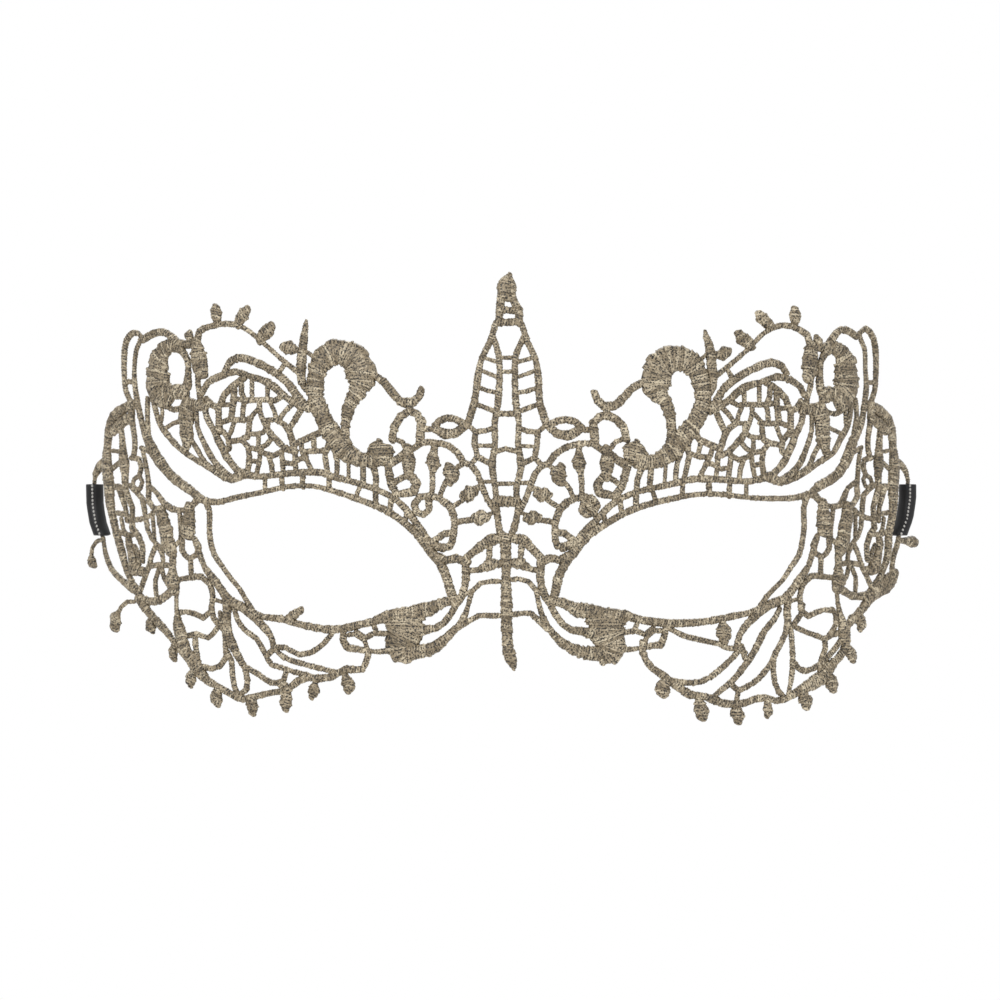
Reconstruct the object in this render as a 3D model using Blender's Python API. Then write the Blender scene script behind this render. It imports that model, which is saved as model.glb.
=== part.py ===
"""Masquerade eye mask of corded lace, with a satin tie ribbon looped on at each side.

The lace is charted by hand on a grid of squares, columns counted from the middle and rows from
the nose seat. Every row of the chart is one cord with its breadths and its turning points.
"""
import math

import bmesh
import bpy
import numpy as np
from mathutils.geometry import delaunay_2d_cdt

# The face curve, in metres.
FACE_MARGIN = 0.0045
FACE_DEPTH = 0.075
NOSE_RIDGE = 0.006
NOSE_RIDGE_SPREAD = 0.014
NOSE_TOP = 0.028
NOSE_FADE = 0.022
BROW_LEAN = 0.010
BROW_SHARE = 0.15

# The lace, in metres.
MASK_BREADTH = 0.1670
FACE_HALF_BREADTH = MASK_BREADTH / 2 + FACE_MARGIN
MASK_HEIGHT = 0.0890
LACE_THICKNESS = 0.0010
SATIN_RISE = 0.0006
SATIN_EDGE = 0.0006
GAPS = 120
CORD_STEP = 0.0011
OUTLINE_TOLERANCE = 0.00014
CORNER_BLUNT = 0.00012

# Colour, metallic and roughness.
CHAMPAGNE_THREAD = ((0.40, 0.34, 0.25), 0.35, 0.5)
BLACK_SATIN = ((0.012, 0.012, 0.013), 0.0, 0.35)

# The satin ribbons, in metres.
RIBBON_WIDTH = 0.0100
RIBBON_THICKNESS = 0.0010
RIBBON_CLEARANCE = 0.00035
RIBBON_TAIL = 0.0060
RIBBON_LENGTH = 0.045
RIBBON_BOW = 0.0008
RIBBON_STEPS = 12
RIBBON_LEVELS = 5
EYELET_LENGTH = 0.0026
RIBBON_MIDDLE_HEIGHT = 0.0162

# The chart: 835 columns from temple to temple, 445 rows from the lowest tip to the crown knob.
CHART_COLUMNS = 835
CHART_ROWS = 445
SATIN_BREADTH = 11
CORD_BREADTH = 7
BAR_BREADTH = 4.5
CROWN_ROW = 317
HANG_BLUR = 7
SQUARE_X = MASK_BREADTH / CHART_COLUMNS
SQUARE_Z = MASK_HEIGHT / CHART_ROWS

# Cords: motif, breadth in squares (or breadths along it), then its (column, row) points.
MIDDLE_CORDS = (
    ("knob", (5, 15, 21, 17), ((-4.5, 316), (-3, 310), (-1, 302), (-1, 295))),
    ("knob foot", 7, ((9, 268), (-3, 268.5), (-14, 269))),
    ("knob bar", 7, ((6, 281), (-3, 280.5), (-12, 280))),
    ("knob neck", (8, 8, 8, 7), ((4, 297), (5, 288), (6, 279), (7, 268))),
    ("knob neck", (8, 8, 9, 8, 7), ((-6, 297), (-9, 288), (-13, 281), (-13.5, 275), (-13, 267))),
    ("lantern bar 2", 4, ((6, 219), (-8, 219))),
    ("lantern bar 3", 6, ((9, 177), (-11, 177))),
    ("lantern arc", 5, ((10, 139), (0, 142), (-12, 139))),
    ("lantern bar 4", 4, ((9, 107), (-9, 107))),
    ("lantern bar 5", 11, ((9, 89.5), (-10, 89))),
    ("stem", (11, 11, 11, 9, 10, 11, 11.5, 11, 11, 13, 8, 3),
     ((0, 53), (0, 42), (-0.5, 31), (-0.5, 20), (-0.5, 5), (-1, -10), (-1, -30), (-1.5, -45),
      (-2.5, -58), (-5, -68), (-7, -74), (-8, -79))),
)

# On both sides, columns counted outwards.
SIDE_CORDS = (
    ("outer leg", (6, 6, 6, 7, 7, 8), ((10, 267), (16, 248), (24, 232), (28, 212), (31, 190), (38, 166))),
    ("inner leg", (6, 6, 6, 7, 6, 6, 7, 6, 6, 7, 6),
     ((12, 253), (7, 236), (6, 216), (8, 185), (11, 168), (10.5, 148), (13.5, 124), (10.5, 104),
      (8.5, 80), (6, 60), (1, 50))),
    ("leg rung 2", 4, ((26, 221), (7, 213))),
    ("leg rung 3", 4.5, ((29, 204), (18, 200), (8, 198))),
    ("leg rung 4", 5, ((31, 187), (20, 183), (10, 179))),
    ("lobe top", 5, ((38, 166), (30, 159), (20, 160), (11, 163))),
    ("lobe side", 6, ((30, 159), (31, 146), (28, 134), (21, 130), (13, 127))),
    ("lobe bar", 4, ((30, 145), (11, 145))),
    ("leaf upper", 7, ((40, 166), (50, 171.5), (58, 173), (66, 170), (71, 164))),
    ("leaf lower", (8, 9, 10, 8), ((40, 165), (50, 157.5), (60, 156.5), (71, 162))),
    ("leaf stalk", 6, ((70, 162), (76, 161.5), (83, 162))),
    ("fan arc", 6.5, ((42, 128), (48, 138), (57, 145), (70, 148), (84, 148), (91, 143), (98, 139))),
    ("fan spine", 6, ((43, 129), (34, 125), (28, 117), (24, 106), (18, 91), (9, 78))),
    ("fan tie", 4, ((25, 109), (13, 109))),
    ("seed 1", (10, 17, 15, 9), ((56, 124), (54.5, 118), (54.5, 113), (56, 109))),
    ("seed 1 top", 5, ((42, 127), (49, 123))),
    ("seed 1 stalk", 5, ((59, 110), (62.5, 103), (66, 94))),
    ("seed 2", (9, 16, 16, 9), ((31, 98), (35, 97), (39, 96.5), (42, 96))),
    ("seed 2 stalk", (6, 7), ((31, 102), (24, 104))),
    ("seed 2 foot", 5, ((42, 91), (48, 87), (55, 83))),
    ("seed 3", (9, 16, 16, 9), ((19, 73), (23, 73), (27, 73), (31, 73))),
    ("seed 3 stalk", 4, ((18, 76), (9, 79))),
    ("seed 3 foot", 6, ((32, 71), (42, 70), (51, 68))),
    ("seed 4", (8, 14, 13, 8), ((72, 138), (72.5, 131), (72.5, 126), (73, 121))),
    ("seed 4 top", 7, ((71, 147), (71.5, 137))),
    ("seed 4 stalk", 5.5, ((73.5, 121), (73, 108), (74, 95))),
    ("fan rim", (7, 7, 8, 7, 7, 7, 7.5),
     ((77, 95), (67, 93), (57, 85.5), (51.5, 73), (52, 57), (56, 44), (66, 43.5))),
    ("fan rim end", 8, ((62, 42), (69, 45), (77, 49))),
    ("fan bar", 7, ((52, 58), (61, 57), (67, 53), (75, 47))),
    ("fan curl", 7, ((77, 95), (86, 93.5), (91.5, 86), (89, 78.5), (82, 76), (76.5, 81), (77, 92))),
    ("bracket", (8, 12, 9, 8, 8), ((2, 52), (15, 50.5), (24, 45), (33, 38), (40, 32))),
    ("bracket link", 6, ((16, 46), (16.5, 28))),
    ("bracket foot", (6, 12, 6, 6), ((2, 27), (16, 26), (27, 21), (40, 20))),
    ("corner arch", (9, 8, 8, 9), ((68, 34), (59, 30.5), (49, 32.5), (39, 28))),
    ("corner inner", (8, 8, 7, 8, 8), ((40, 26), (39.5, 14), (41, 3), (44, -6), (51, -13))),
    ("corner outer", 9, ((73, 38), (64, 25), (58.5, 12), (55, 0), (52, -9))),
    ("nose upper", 5, ((2, 9), (14, 9.5), (25, 7.5), (34, -1), (42, -4))),
    ("nose post", 5, ((34, -1), (37, -13), (41, -26), (47, -37))),
    ("nose lower", 5.5, ((2, -25), (14, -25), (27, -25), (38, -31), (47, -37))),
    ("brow lower", (7, 6, 5.5, 5, 5, 5, 6, 6.5, 7, 7, 9, 9, 8),
     ((300, 90), (288, 88.5), (270, 93), (243, 98.5), (218, 104), (192, 104.5), (165, 97.5), (145, 90.5),
      (122, 81.5), (100, 67), (85, 53), (74, 38), (66, 28))),
    ("brow upper", (8, 8, 6, 6, 7, 7, 7, 6, 6, 6, 6, 7, 7, 8, 9),
     ((273, 112), (262, 116), (246, 114), (228, 116), (208, 118), (184, 118), (172, 114), (155, 109.5),
      (140, 105), (124, 99), (111, 92), (101, 83), (91, 70), (83, 58), (76, 47))),
    ("brow rung 1", 4.5, ((240.5, 113), (240.5, 99))),
    ("brow rung 2", 5.5, ((224, 114), (223, 102))),
    ("brow rung 3", 6, ((203, 115), (203, 104))),
    ("brow rung 4", 5.5, ((176.5, 115), (176.5, 101))),
    ("brow rung 5", 4.5, ((145, 106), (150, 93))),
    ("brow rung 6", 6, ((130, 102), (130, 86))),
    ("brow rung 7", 5.5, ((114, 93), (116, 80))),
    ("brow rung 8", 5, ((98, 79), (101, 68))),
    ("comma", (20, 19, 17, 17, 17, 18, 19, 23, 26, 25, 29, 30, 28, 19, 13, 13, 10, 9, 9),
     ((167, 149), (175, 159), (181, 170), (186, 181), (190, 192), (190.5, 206), (188, 221), (182, 232),
      (173, 238), (161, 238), (149.5, 231), (145, 220), (145.5, 209), (148.5, 199), (154, 190),
      (157.5, 181), (159.5, 171), (160.5, 158), (160, 142))),
    ("comma foot", (20, 21, 18, 15, 15, 16),
     ((166, 150), (163, 142), (156, 136), (147, 131.5), (138, 130), (128, 131))),
    ("comma ball", (7, 19, 24, 26, 24, 19, 7),
     ((126, 149), (126, 146.5), (125.5, 143), (125, 138.5), (124.5, 134), (124, 130.5), (124, 128))),
    ("comma post 1", 5.5, ((171, 140), (168.5, 130), (168.5, 120), (170, 113))),
    ("comma post 2", 4, ((157, 129), (157, 111))),
    ("comma post 3", 6, ((142.5, 127), (142.5, 105))),
    ("comma post 4", (7, 6, 6), ((132, 124), (129.5, 113), (130, 101))),
    ("hook", (8, 8, 8, 9, 9, 8, 7),
     ((132, 216), (122, 209), (114, 199), (103, 188), (93, 188), (86.5, 194), (84, 201))),
    ("arch left", 8, ((96, 180), (105, 174), (111, 164), (113.5, 151))),
    ("arch right", (7, 8, 9, 9, 8), ((96, 180), (89, 177), (84, 169), (85, 158), (86, 148))),
    ("arch top", 7, ((96, 188), (95, 178))),
    ("arch strut", 5, ((112, 152), (104, 149), (98, 140))),
    ("knot arm", (9, 8, 7), ((116, 127), (107, 132), (98, 140))),
    ("knot", (9, 12, 14, 12, 10), ((97, 143), (97, 135), (97, 128), (97, 121), (97, 115))),
    ("loop post", 8, ((118, 127), (116, 115), (114.5, 106), (109, 97))),
    ("loop base", (7, 8, 9, 9, 8), ((111, 96), (101, 97.5), (92, 99), (89, 107), (94, 115))),
    ("loop bar", 6, ((99, 115), (106, 111.5), (113, 107))),
    ("dome", (8, 7, 6, 6, 5, 5, 5, 6),
     ((308, 249), (306, 259), (296, 264), (277, 267), (262, 263), (243, 248.5), (224, 231.5),
      (207, 218))),
    ("dome tie", 5, ((220, 228), (226, 219))),
    ("feather", (3, 6, 8, 9, 10, 9, 8, 5),
     ((199, 270), (200, 263), (201.5, 252), (203, 240), (204, 228), (204.5, 216), (203.5, 208),
      (200, 200))),
    ("crescent 1", (6, 7, 8, 8, 8, 8, 9, 9),
     ((281, 219), (276, 228), (266, 233), (250, 228.5), (232, 219), (217, 207), (206, 191), (197, 182))),
    ("crescent 2", (6, 6, 7, 7, 6, 8, 7, 9),
     ((303, 198), (297, 208.5), (286, 214), (270, 219), (254, 214), (237, 208), (219, 193), (203, 184))),
    ("net gate", 7, ((299, 192), (294, 186), (287, 183), (281, 196), (273, 204), (261, 213))),
    ("net post 1", 7, ((271, 201), (272, 189), (274, 173))),
    ("net post 3", 5, ((253.5, 212), (253.5, 192))),
    ("net post 4", 5, ((238, 208), (238, 191))),
    ("net rail 1", 5.5, ((272, 192), (258, 190.5), (238, 191), (231, 190), (222, 195))),
    ("net post 5", (7, 7, 8), ((287, 183), (286.5, 172), (286, 160))),
    ("net rail 2", 5.5, ((285, 168), (276, 171), (262, 170.5), (254, 172))),
    ("net post 6", 5.5, ((261, 190), (262.5, 181), (263, 171))),
    ("net tie 2", 4.5, ((257, 171), (248, 181))),
    ("net post 7", 5.5, ((246, 190), (246, 181), (242, 169), (238, 162))),
    ("net post 8", 5, ((235.5, 189), (231, 179), (229, 171))),
    ("net rail 3", 5, ((241, 171), (226, 172), (219, 181), (212, 187))),
    ("net tie 3", 5, ((271, 170), (274, 160), (277, 154))),
    ("net post 9", 6, ((256, 172), (256.5, 161), (258, 154), (264, 151), (277, 149))),
    ("net rail 4", 5, ((257, 157), (249, 156.5), (243, 158), (238, 162), (237, 170))),
    ("net post 10", 5, ((247, 157), (247, 143))),
    ("net ring 1", 6, ((263, 150), (257.5, 144), (256, 134), (258, 118))),
    ("net rail 5", 5.5, ((257, 143), (248, 141.5), (240, 137), (232, 135), (226, 138), (219, 143))),
    ("net post 11", 5, ((245, 141), (246, 130), (249, 117))),
    ("net post 12", 5.5, ((237, 135), (234, 126), (233, 115))),
    ("net post 13", 5.5, ((224, 139), (223, 127), (222, 116))),
    ("net diagonal", 6.5, ((239, 162), (230, 152), (220, 142), (210, 139))),
    ("net diamond", 5, ((238, 160), (234, 152), (239, 146), (246, 142))),
    ("net vee", (6, 6, 7, 7, 6, 5.5, 5),
     ((229, 171), (221, 166), (216, 159), (213, 148), (210.5, 138), (210.5, 128), (209.5, 119))),
    ("net vee arm", 6.5, ((204, 182), (211, 170), (217, 161))),
    ("net scallop", 7, ((212, 146), (200, 151.5), (190, 156), (180, 161))),
    ("net rail 6", 5.5, ((203, 139), (193, 139.5), (180, 140.5), (174, 145))),
    ("net post 14", 5.5, ((202, 136), (197, 127), (193, 118))),
    ("net post 15", 5.5, ((192, 154), (191.5, 140))),
    ("net post 16", 5.5, ((181, 141), (180, 130), (178, 118))),
    ("net post 17", 5.5, ((177, 156), (177, 148), (179, 140))),
    ("drop 1", 7, ((302, 189), (298, 172), (290, 158))),
    ("drop 2", (7, 8, 8, 8, 7, 8, 8),
     ((291, 160), (287, 150), (283, 143), (279, 134), (273, 126), (267, 119), (258, 117))),
    ("scroll back", (10, 14, 20, 23, 24, 22, 18),
     ((334, 245), (342, 239.5), (346, 230), (347.5, 217), (347.5, 204), (342, 196), (336, 192))),
    ("scroll foot", (18, 14, 14, 11), ((341, 198), (333, 199), (326, 199), (321, 196))),
    ("scroll front", (10, 8, 7, 7, 9, 10),
     ((333, 244), (323, 240), (318, 231), (317, 218), (317.5, 206), (322, 198))),
    ("scroll top", (7, 7, 7, 8, 9, 8, 8),
     ((362, 251), (352, 257), (341, 258.5), (333, 253), (327, 247), (318, 246), (310, 249))),
    ("scroll knot", (6, 10, 6), ((315, 248), (316, 254), (315, 258))),
    ("satin bar", (7, 11, 15, 16, 15, 11),
     ((309, 251), (308, 245), (307, 237), (306, 229), (305, 222), (303, 217))),
    ("satin bar stem", (7, 6, 6, 8), ((307, 219), (307.5, 208), (306, 196), (303, 186))),
    ("band", (9, 12, 16, 15, 13, 13, 9, 8),
     ((300, 184), (308, 185), (317, 184), (319, 175), (319, 165), (318.5, 155), (318.5, 147),
      (320, 141))),
    ("band curl", 5.5, ((346, 190), (339, 184), (332, 181), (325, 182), (319, 187))),
    ("band loop", 4.5, ((339, 163), (332, 167.5), (323, 170))),
    ("line 1", (6, 6, 6.5, 7, 6, 6, 6, 6, 8, 7),
     ((352, 190), (349, 178), (345, 166), (338, 156), (326, 142.5), (313, 133), (301, 126), (288, 117.5),
      (275, 111.5), (262, 115))),
    ("line 2", 5.5, ((315, 152), (308, 141), (301, 129), (292, 122))),
    ("line 3", (5, 5, 6, 7, 7, 8),
     ((309, 182), (308, 164), (301, 147), (293, 132), (285, 122), (274, 112))),
    ("outer loop", (6, 6, 6, 7, 7, 6, 5, 5, 5, 6, 7),
     ((373, 186), (379.5, 200), (381, 214), (381, 234), (379, 249), (372, 258), (364, 254), (369, 241),
      (371, 222), (370.5, 206), (367, 184))),
    ("outer crescent", (7, 7, 9, 10, 9.5, 9, 9, 8.5, 8, 7),
     ((367, 184), (363, 167), (357, 151), (351, 138), (343, 126), (334, 115), (323, 106), (313, 99),
      (305, 92), (297, 88))),
    ("scroll tail", 5.5, ((357.5, 192), (358, 176), (357, 158))),
    ("side edge", (9, 9, 9, 8.5, 8, 10, 10, 9, 8, 8, 8, 7, 7, 8, 9, 8, 8, 7),
     ((372, 186), (384, 180), (392, 172), (396, 158), (397.5, 143), (398, 125), (396, 106), (395, 90),
      (392, 73), (388, 56), (383, 38), (379, 22), (373, 8), (367, -2), (364, -10), (357, -21),
      (347, -32), (338, -42))),
    ("side edge fill", (8, 9, 8), ((374, 174), (383, 168), (391, 160))),
    ("side line 1", (7, 7, 8, 10, 8, 7, 7, 6, 6, 7, 7, 6, 6),
     ((385, 166), (383, 152), (382, 140), (381, 128), (380, 116), (380, 103), (377, 93), (373, 83),
      (373, 72), (373, 62), (367, 55), (363, 45), (363, 30))),
    ("side line 2", (8, 7, 6, 6, 6), ((374, 182), (373, 168), (371, 155), (370.5, 142), (372, 133))),
    ("side line 3", (5, 5, 5.5, 6, 6, 6, 7, 8),
     ((363, 142), (360, 128), (357.5, 114), (356.5, 100), (357, 90), (352, 83), (345, 79), (341, 76))),
    ("side line 4", 5.5, ((374, 133), (366, 131), (364, 123), (366, 115))),
    ("side line 5", (5, 5.5, 6, 6, 5, 5.5),
     ((377, 106), (369, 99), (363, 92), (361, 82), (360, 73), (358, 66))),
    ("side line 6", (8, 7, 5.5, 6), ((385, 102), (383, 93), (380, 83), (378, 70))),
    ("side tie 1", 5, ((364, 143), (356, 139))),
    ("side tie 2", 6, ((395, 103), (386, 104), (380, 101))),
    ("side tie 5", 5, ((389, 78), (380, 76), (370, 71), (360, 73), (352, 77))),
    ("side tie 7", 5, ((389, 61), (380, 56), (372, 56))),
    ("side line 7", 5, ((360, 73), (358, 62), (354, 53), (347, 45), (340, 40))),
    ("brow corner", (5, 5, 7, 7, 5, 6, 8, 7),
     ((355, 104), (348, 97), (341, 87), (334, 82), (323, 80.5), (314, 84), (309, 90), (304, 92))),
    ("lash root", (10, 11, 12, 12, 13, 8, 7, 9, 15, 10),
     ((344, 80), (342, 70), (339, 60), (338, 50), (335, 43), (332.5, 34), (332.5, 25), (332.5, 17),
      (332.5, 8), (331, 0))),
    ("lash side", (9, 12, 14, 14, 14), ((316, 84), (316, 74), (317, 65), (317.5, 60), (318, 57))),
    ("lash side twin", 5, ((326, 80), (325, 66), (325, 50), (332, 44))),
    ("eye ring", (6, 6, 5.5, 5.5, 6, 5),
     ((323, 50), (323.5, 41), (316, 32), (309, 36), (306.5, 44), (311, 53))),
    ("side fan 1", (6, 8, 8, 9, 11, 9, 5),
     ((377, 56), (376, 47), (374, 40), (372, 30), (371, 23), (364, 19), (358, 20))),
    ("side fan 3", 5.5, ((349, 46), (354, 34), (357, 22), (361, 12), (365, 0))),
    ("side fan 4", 5, ((349, 46), (343, 36), (342, 27), (347, 20), (350, 10), (349, -5))),
    ("side fan bar", 5.5, ((357, 24), (346, 26), (334, 25))),
    ("side fan 5", 5, ((344, 24), (341, 12), (334, 2))),
    ("side fan base", 8, ((367, -7), (356, -10.5), (346, -9.5), (338, -4), (331, 2))),
    ("eye cord 1", (7, 6, 6, 6, 6, 5.5, 5, 5, 5.5, 6),
     ((300, 90), (296, 80), (296, 64), (295, 50), (291, 36), (283, 24), (274, 11.5), (266, 2),
      (259, -10), (254, -18))),
    ("eye cord 2", (6, 6, 6, 8, 8, 9, 9, 8, 8, 6, 6, 6),
     ((311, 52), (307, 40), (301, 24), (292, 12), (284, 1), (276, -10), (264, -16), (252, -26),
      (241, -37), (234, -47), (231, -58), (239, -65))),
    ("eye cord 3", (5, 6, 6.5, 6, 6, 6),
     ((328, 11), (316, 13), (304, 14), (296, 7), (292.5, -6), (294, -18))),
    ("eye post", 5.5, ((315, 33), (314, 14))),
    ("lower rim", (8, 6, 7, 7, 7, 8, 8, 8, 8, 10),
     ((256, -20), (243, -26), (225, -28), (210, -32.5), (195, -36), (180, -38.5), (163, -38),
      (148, -34.5), (132, -30.5), (118, -25))),
    ("cheek petal 7", (5, 6, 5.5, 5, 6), ((294, -20), (302, -27), (311, -23), (319, -21), (326, -22))),
    ("cheek ring", (6, 7, 8, 7, 5, 5, 6),
     ((162, -42), (162.5, -50), (158, -57), (148, -58.5), (136, -60.5), (127, -61), (117, -60))),
    ("cheek ring 2", 5, ((157, -44), (150, -43.5), (141, -50), (138, -59))),
    ("cheek ring 3", 5.5, ((149, -41), (140, -47), (131, -42.5), (119, -43))),
    ("nose leaf", (40, 39, 38, 36, 30, 29, 23, 10),
     ((101, -24), (101, -31), (101, -40), (103, -46), (105.5, -51), (106, -57), (104, -64), (99, -69))),
    ("nose leaf rim", (9, 9, 11, 15, 15, 13, 13, 9),
     ((50, -10), (60, -11), (68, -14.5), (76, -18.5), (86, -20), (96, -22), (108, -24.5), (122, -28))),
    ("nose leaf cord", (12, 9, 7, 6, 6.5, 6, 7),
     ((88, -42), (79, -39), (70, -37.5), (62, -32.5), (55, -24), (50, -15), (46, -9))),
    ("nose leaf tail", (15, 14, 13, 11, 9.5, 7, 6, 6),
     ((94, -62), (84, -60.5), (76, -59), (69, -55.5), (61, -49), (52, -40), (46, -34), (41, -25))),
    ("dome picot", (7, 10, 11.5, 8), ((289, 268), (289, 272), (289, 279), (289, 283))),
    ("dome picot", (8, 10, 12, 8), ((268, 266), (265, 272), (261, 277), (258, 281))),
    ("dome picot", (8, 12, 13, 9), ((246, 250), (242, 256), (237, 260), (234, 264))),
    ("dome picot", (4, 10, 15, 10), ((206, 240), (212, 241), (217, 243), (221, 244))),
)

# On the viewer's left only.
LEFT_CORDS = (
    ("ear cord", (4.5, 5.5, 6, 6.5, 8), ((402, 52), (400, 38), (394, 22), (385, 12), (371, 1))),
    ("ear cord top", (6, 8, 7, 4.5), ((400, 131), (406, 123), (410, 116), (410.5, 113))),
    ("rim picot", (10, 9, 8, 8), ((216, -28), (211, -24), (207, -21), (205, -20))),
    ("cheek spine", (7, 9, 9, 10, 9, 7, 6.5, 6, 6, 5, 6),
     ((280, -6), (278, -17), (279, -30), (278, -42), (273, -54), (266, -68), (260, -78), (258, -90),
      (259, -99), (265, -103), (272, -103))),
    ("cheek petal 1", 6,
     ((294, -17), (292, -27), (287, -34), (281, -40), (280, -54), (279, -66), (285, -75), (293, -78),
      (303, -76))),
    ("cheek petal 2", 6, ((279, -60), (274, -70), (273, -84), (271, -96), (268, -103))),
    ("cheek petal 3", 5.5,
     ((271, -19), (268, -29), (260, -40), (249, -48), (241, -62), (234, -74), (224, -77), (212, -81),
      (199, -84))),
    ("cheek petal 4", 6, ((261, -76), (248, -83), (234, -92), (222, -90), (219, -80))),
    ("cheek petal 5", 5.5, ((231, -56), (220, -57), (206, -64), (195, -62), (182, -53), (173, -42))),
    ("cheek petal 6", 5.5, ((231, -58), (221, -67), (203, -73), (184, -78), (168, -82))),
    ("cheek petal 8", 5.5, ((288, -37), (297, -47), (309, -43), (317, -45), (324, -45))),
    ("cheek petal 9", (4.5, 4.5, 6, 10, 11, 10, 9),
     ((329, 2), (329, -16), (328, -24), (327, -33), (325, -42), (322, -52), (318, -61))),
    ("cheek petal 10", 6, ((310, -45), (310, -54), (308, -66))),
    ("cheek foot", 9, ((225, -92), (218, -99))),
    ("cheek rim", (7, 6, 6, 8, 12, 13, 11, 8, 7, 7, 7, 6.5, 6, 6, 8, 8, 8, 8, 8, 8, 7, 6, 7),
     ((338, -42), (333, -49), (329, -54), (323, -60), (314, -67), (309, -75), (305, -82), (298, -90),
      (287, -96), (275, -103), (262, -108.5), (249, -105.5), (234, -102), (219, -99), (207, -90),
      (198, -86.5), (187, -88), (176, -86.5), (167, -82), (158, -78.5), (150, -79), (143, -78.5),
      (137, -63))),
    ("ear bar", 4.5, ((410.5, 113), (411, 107), (410.5, 86), (407.5, 68), (402, 52))),
    ("cheek picot", (4, 4, 4, 5, 11, 10),
     ((371, -11), (378, -11), (384, -16), (387, -22), (389, -28), (390, -35))),
    ("cheek picot", (8, 10, 10, 6), ((353, -28), (354, -33), (354, -38), (353, -41))),
    ("cheek picot", (7, 9, 8, 6), ((331, -55), (332, -60), (332, -66), (331, -69))),
    ("cheek picot", (8, 11, 10, 6), ((312, -81), (314, -87), (315, -92), (315, -95))),
    ("cheek picot", (8, 12, 11, 7), ((287, -99), (289, -106), (288.5, -111), (288, -114))),
    ("cheek picot", (8, 12, 11, 8), ((252, -109), (253, -114), (253, -119), (253, -122))),
    ("cheek picot", (10, 12, 12, 8), ((219, -103), (219, -109), (220, -114), (220, -118))),
    ("cheek picot", (6, 11, 11, 7), ((190, -92), (191, -98), (193, -103), (194, -106))),
    ("cheek picot", (7, 13, 13, 9), ((160, -85), (158, -91), (157, -96), (158, -99))),
    ("ear picot", (4, 4, 4, 5, 9, 7), ((403, 51), (409, 49), (413, 43), (414, 35), (413, 29), (411, 25))),
)

# On the viewer's right only.
RIGHT_CORDS = (
    ("cheek spine", (7, 8, 8, 6, 6, 6.5, 6, 6, 6, 6, 6, 6),
     ((283, -8), (281, -20), (282, -31), (280, -42), (275, -53), (270, -62), (266, -72), (260, -80),
      (253, -88), (243, -95), (233, -100), (224.5, -91.5))),
    ("cheek spine twin", (5, 6, 6, 6, 5, 4),
     ((285, -36), (286, -50), (287, -68), (286.5, -80), (285, -92), (282, -105))),
    ("cheek petal 1", 6, ((297, -14), (295, -24), (290, -31), (285, -38))),
    ("cheek petal 2", 6, ((268, -68), (267.5, -80), (269, -92), (273, -101), (279, -107))),
    ("cheek petal 3", (5.5, 6, 7, 7, 7, 7, 6, 6),
     ((274, -18), (269, -28), (259, -40), (252, -54), (246, -65), (236, -79), (226, -91), (216, -99))),
    ("cheek petal 4", 5.5, ((216, -99), (208, -106))),
    ("cheek petal 5", 5.5,
     ((236, -56), (229, -58), (221, -57), (213, -53), (203, -51), (190, -48), (178, -45), (168, -40),
      (159, -35))),
    ("cheek petal 6", 6,
     ((236, -56), (228, -66), (220, -74), (212, -81), (204, -87), (195, -91), (180, -92), (167, -90))),
    ("cheek petal 8", 6,
     ((287, -70), (293, -78), (300, -80.5), (308, -77.5), (316, -72), (323, -65), (330, -57),
      (336, -48))),
    ("cheek petal 11", 5.5, ((291, -37), (302, -42), (311, -45), (318, -48), (327, -44), (336, -41))),
    ("cheek petal 12", 5.5, ((326, -18), (330, -24), (330, -34), (323, -45))),
    ("cheek petal 9", (4.5, 4.5, 6, 9, 11, 9),
     ((331, 2), (332, -12), (334, -22), (337, -34), (338, -44), (339, -54))),
    ("cheek petal 10", 6, ((319, -48), (319.5, -58), (316, -68), (313, -78))),
    ("cheek link", 6, ((236, -56), (239, -66), (241, -70))),
    ("cheek drop", 5.5, ((233, -99), (231.5, -106), (231, -113))),
    ("cheek rim", (7, 7, 8, 8, 8, 12, 12, 11, 9, 7, 6, 6.5, 7, 7, 7, 8, 8, 9, 7, 8, 9, 8, 8, 7, 7, 7, 7),
     ((345, -28), (341, -37), (341, -50), (337, -61), (330, -70), (322, -78), (315, -87), (304, -94),
      (295, -99), (287, -104), (279, -109), (270, -110), (260, -107), (250, -108), (240, -112),
      (228, -113.5), (215, -112), (206, -108), (196, -105), (184, -104), (175, -98), (166, -91),
      (155, -83), (146, -77), (140, -69), (137, -61), (137, -52))),
    ("rim picot", (6, 7, 15, 17, 16, 10),
     ((216, -27), (217, -32), (218, -38), (218, -43), (218, -46), (218, -49))),
    ("cheek picot", (8, 10, 10, 7), ((352, -24), (354, -29), (355, -34), (354, -38))),
    ("cheek picot", (6, 9, 10, 7), ((342, -55), (344, -60), (346, -66), (347, -70))),
    ("cheek picot", (8, 11, 12, 8), ((323, -83), (325, -89), (326, -95), (327, -99))),
    ("cheek picot", (7, 11, 13, 9), ((297, -99), (298, -106), (300, -111), (300, -115))),
    ("cheek picot", (6, 9, 10, 6), ((262, -109), (262, -116), (262, -121), (261, -125))),
    ("cheek picot", (8, 13, 14, 10), ((231, -114), (231, -121), (232, -126), (232, -129))),
    ("cheek picot", (7, 14, 15, 11), ((193, -107), (195, -117), (196, -121), (196, -125))),
    ("cheek picot", (8, 15, 17, 12), ((161, -88), (158, -95), (157, -99), (157, -102))),
    ("ear cord top", (7, 7, 6, 4.5), ((388, 132), (394, 127), (400, 119), (402, 111))),
    ("ear bar", 4.5, ((402, 111), (402, 92), (399, 72), (393, 56))),
    ("ear cord", (5, 6, 6, 6, 8), ((393, 56), (392, 48), (388, 36), (386, 20), (387, 11))),
    ("ear blob", (5, 6, 10, 8), ((392, 50), (399, 50), (406, 49), (409, 48))),
    ("ear corner", (8, 12, 12, 10), ((389, 17), (384, 10), (372, 1), (361, -7))),
)

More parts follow.
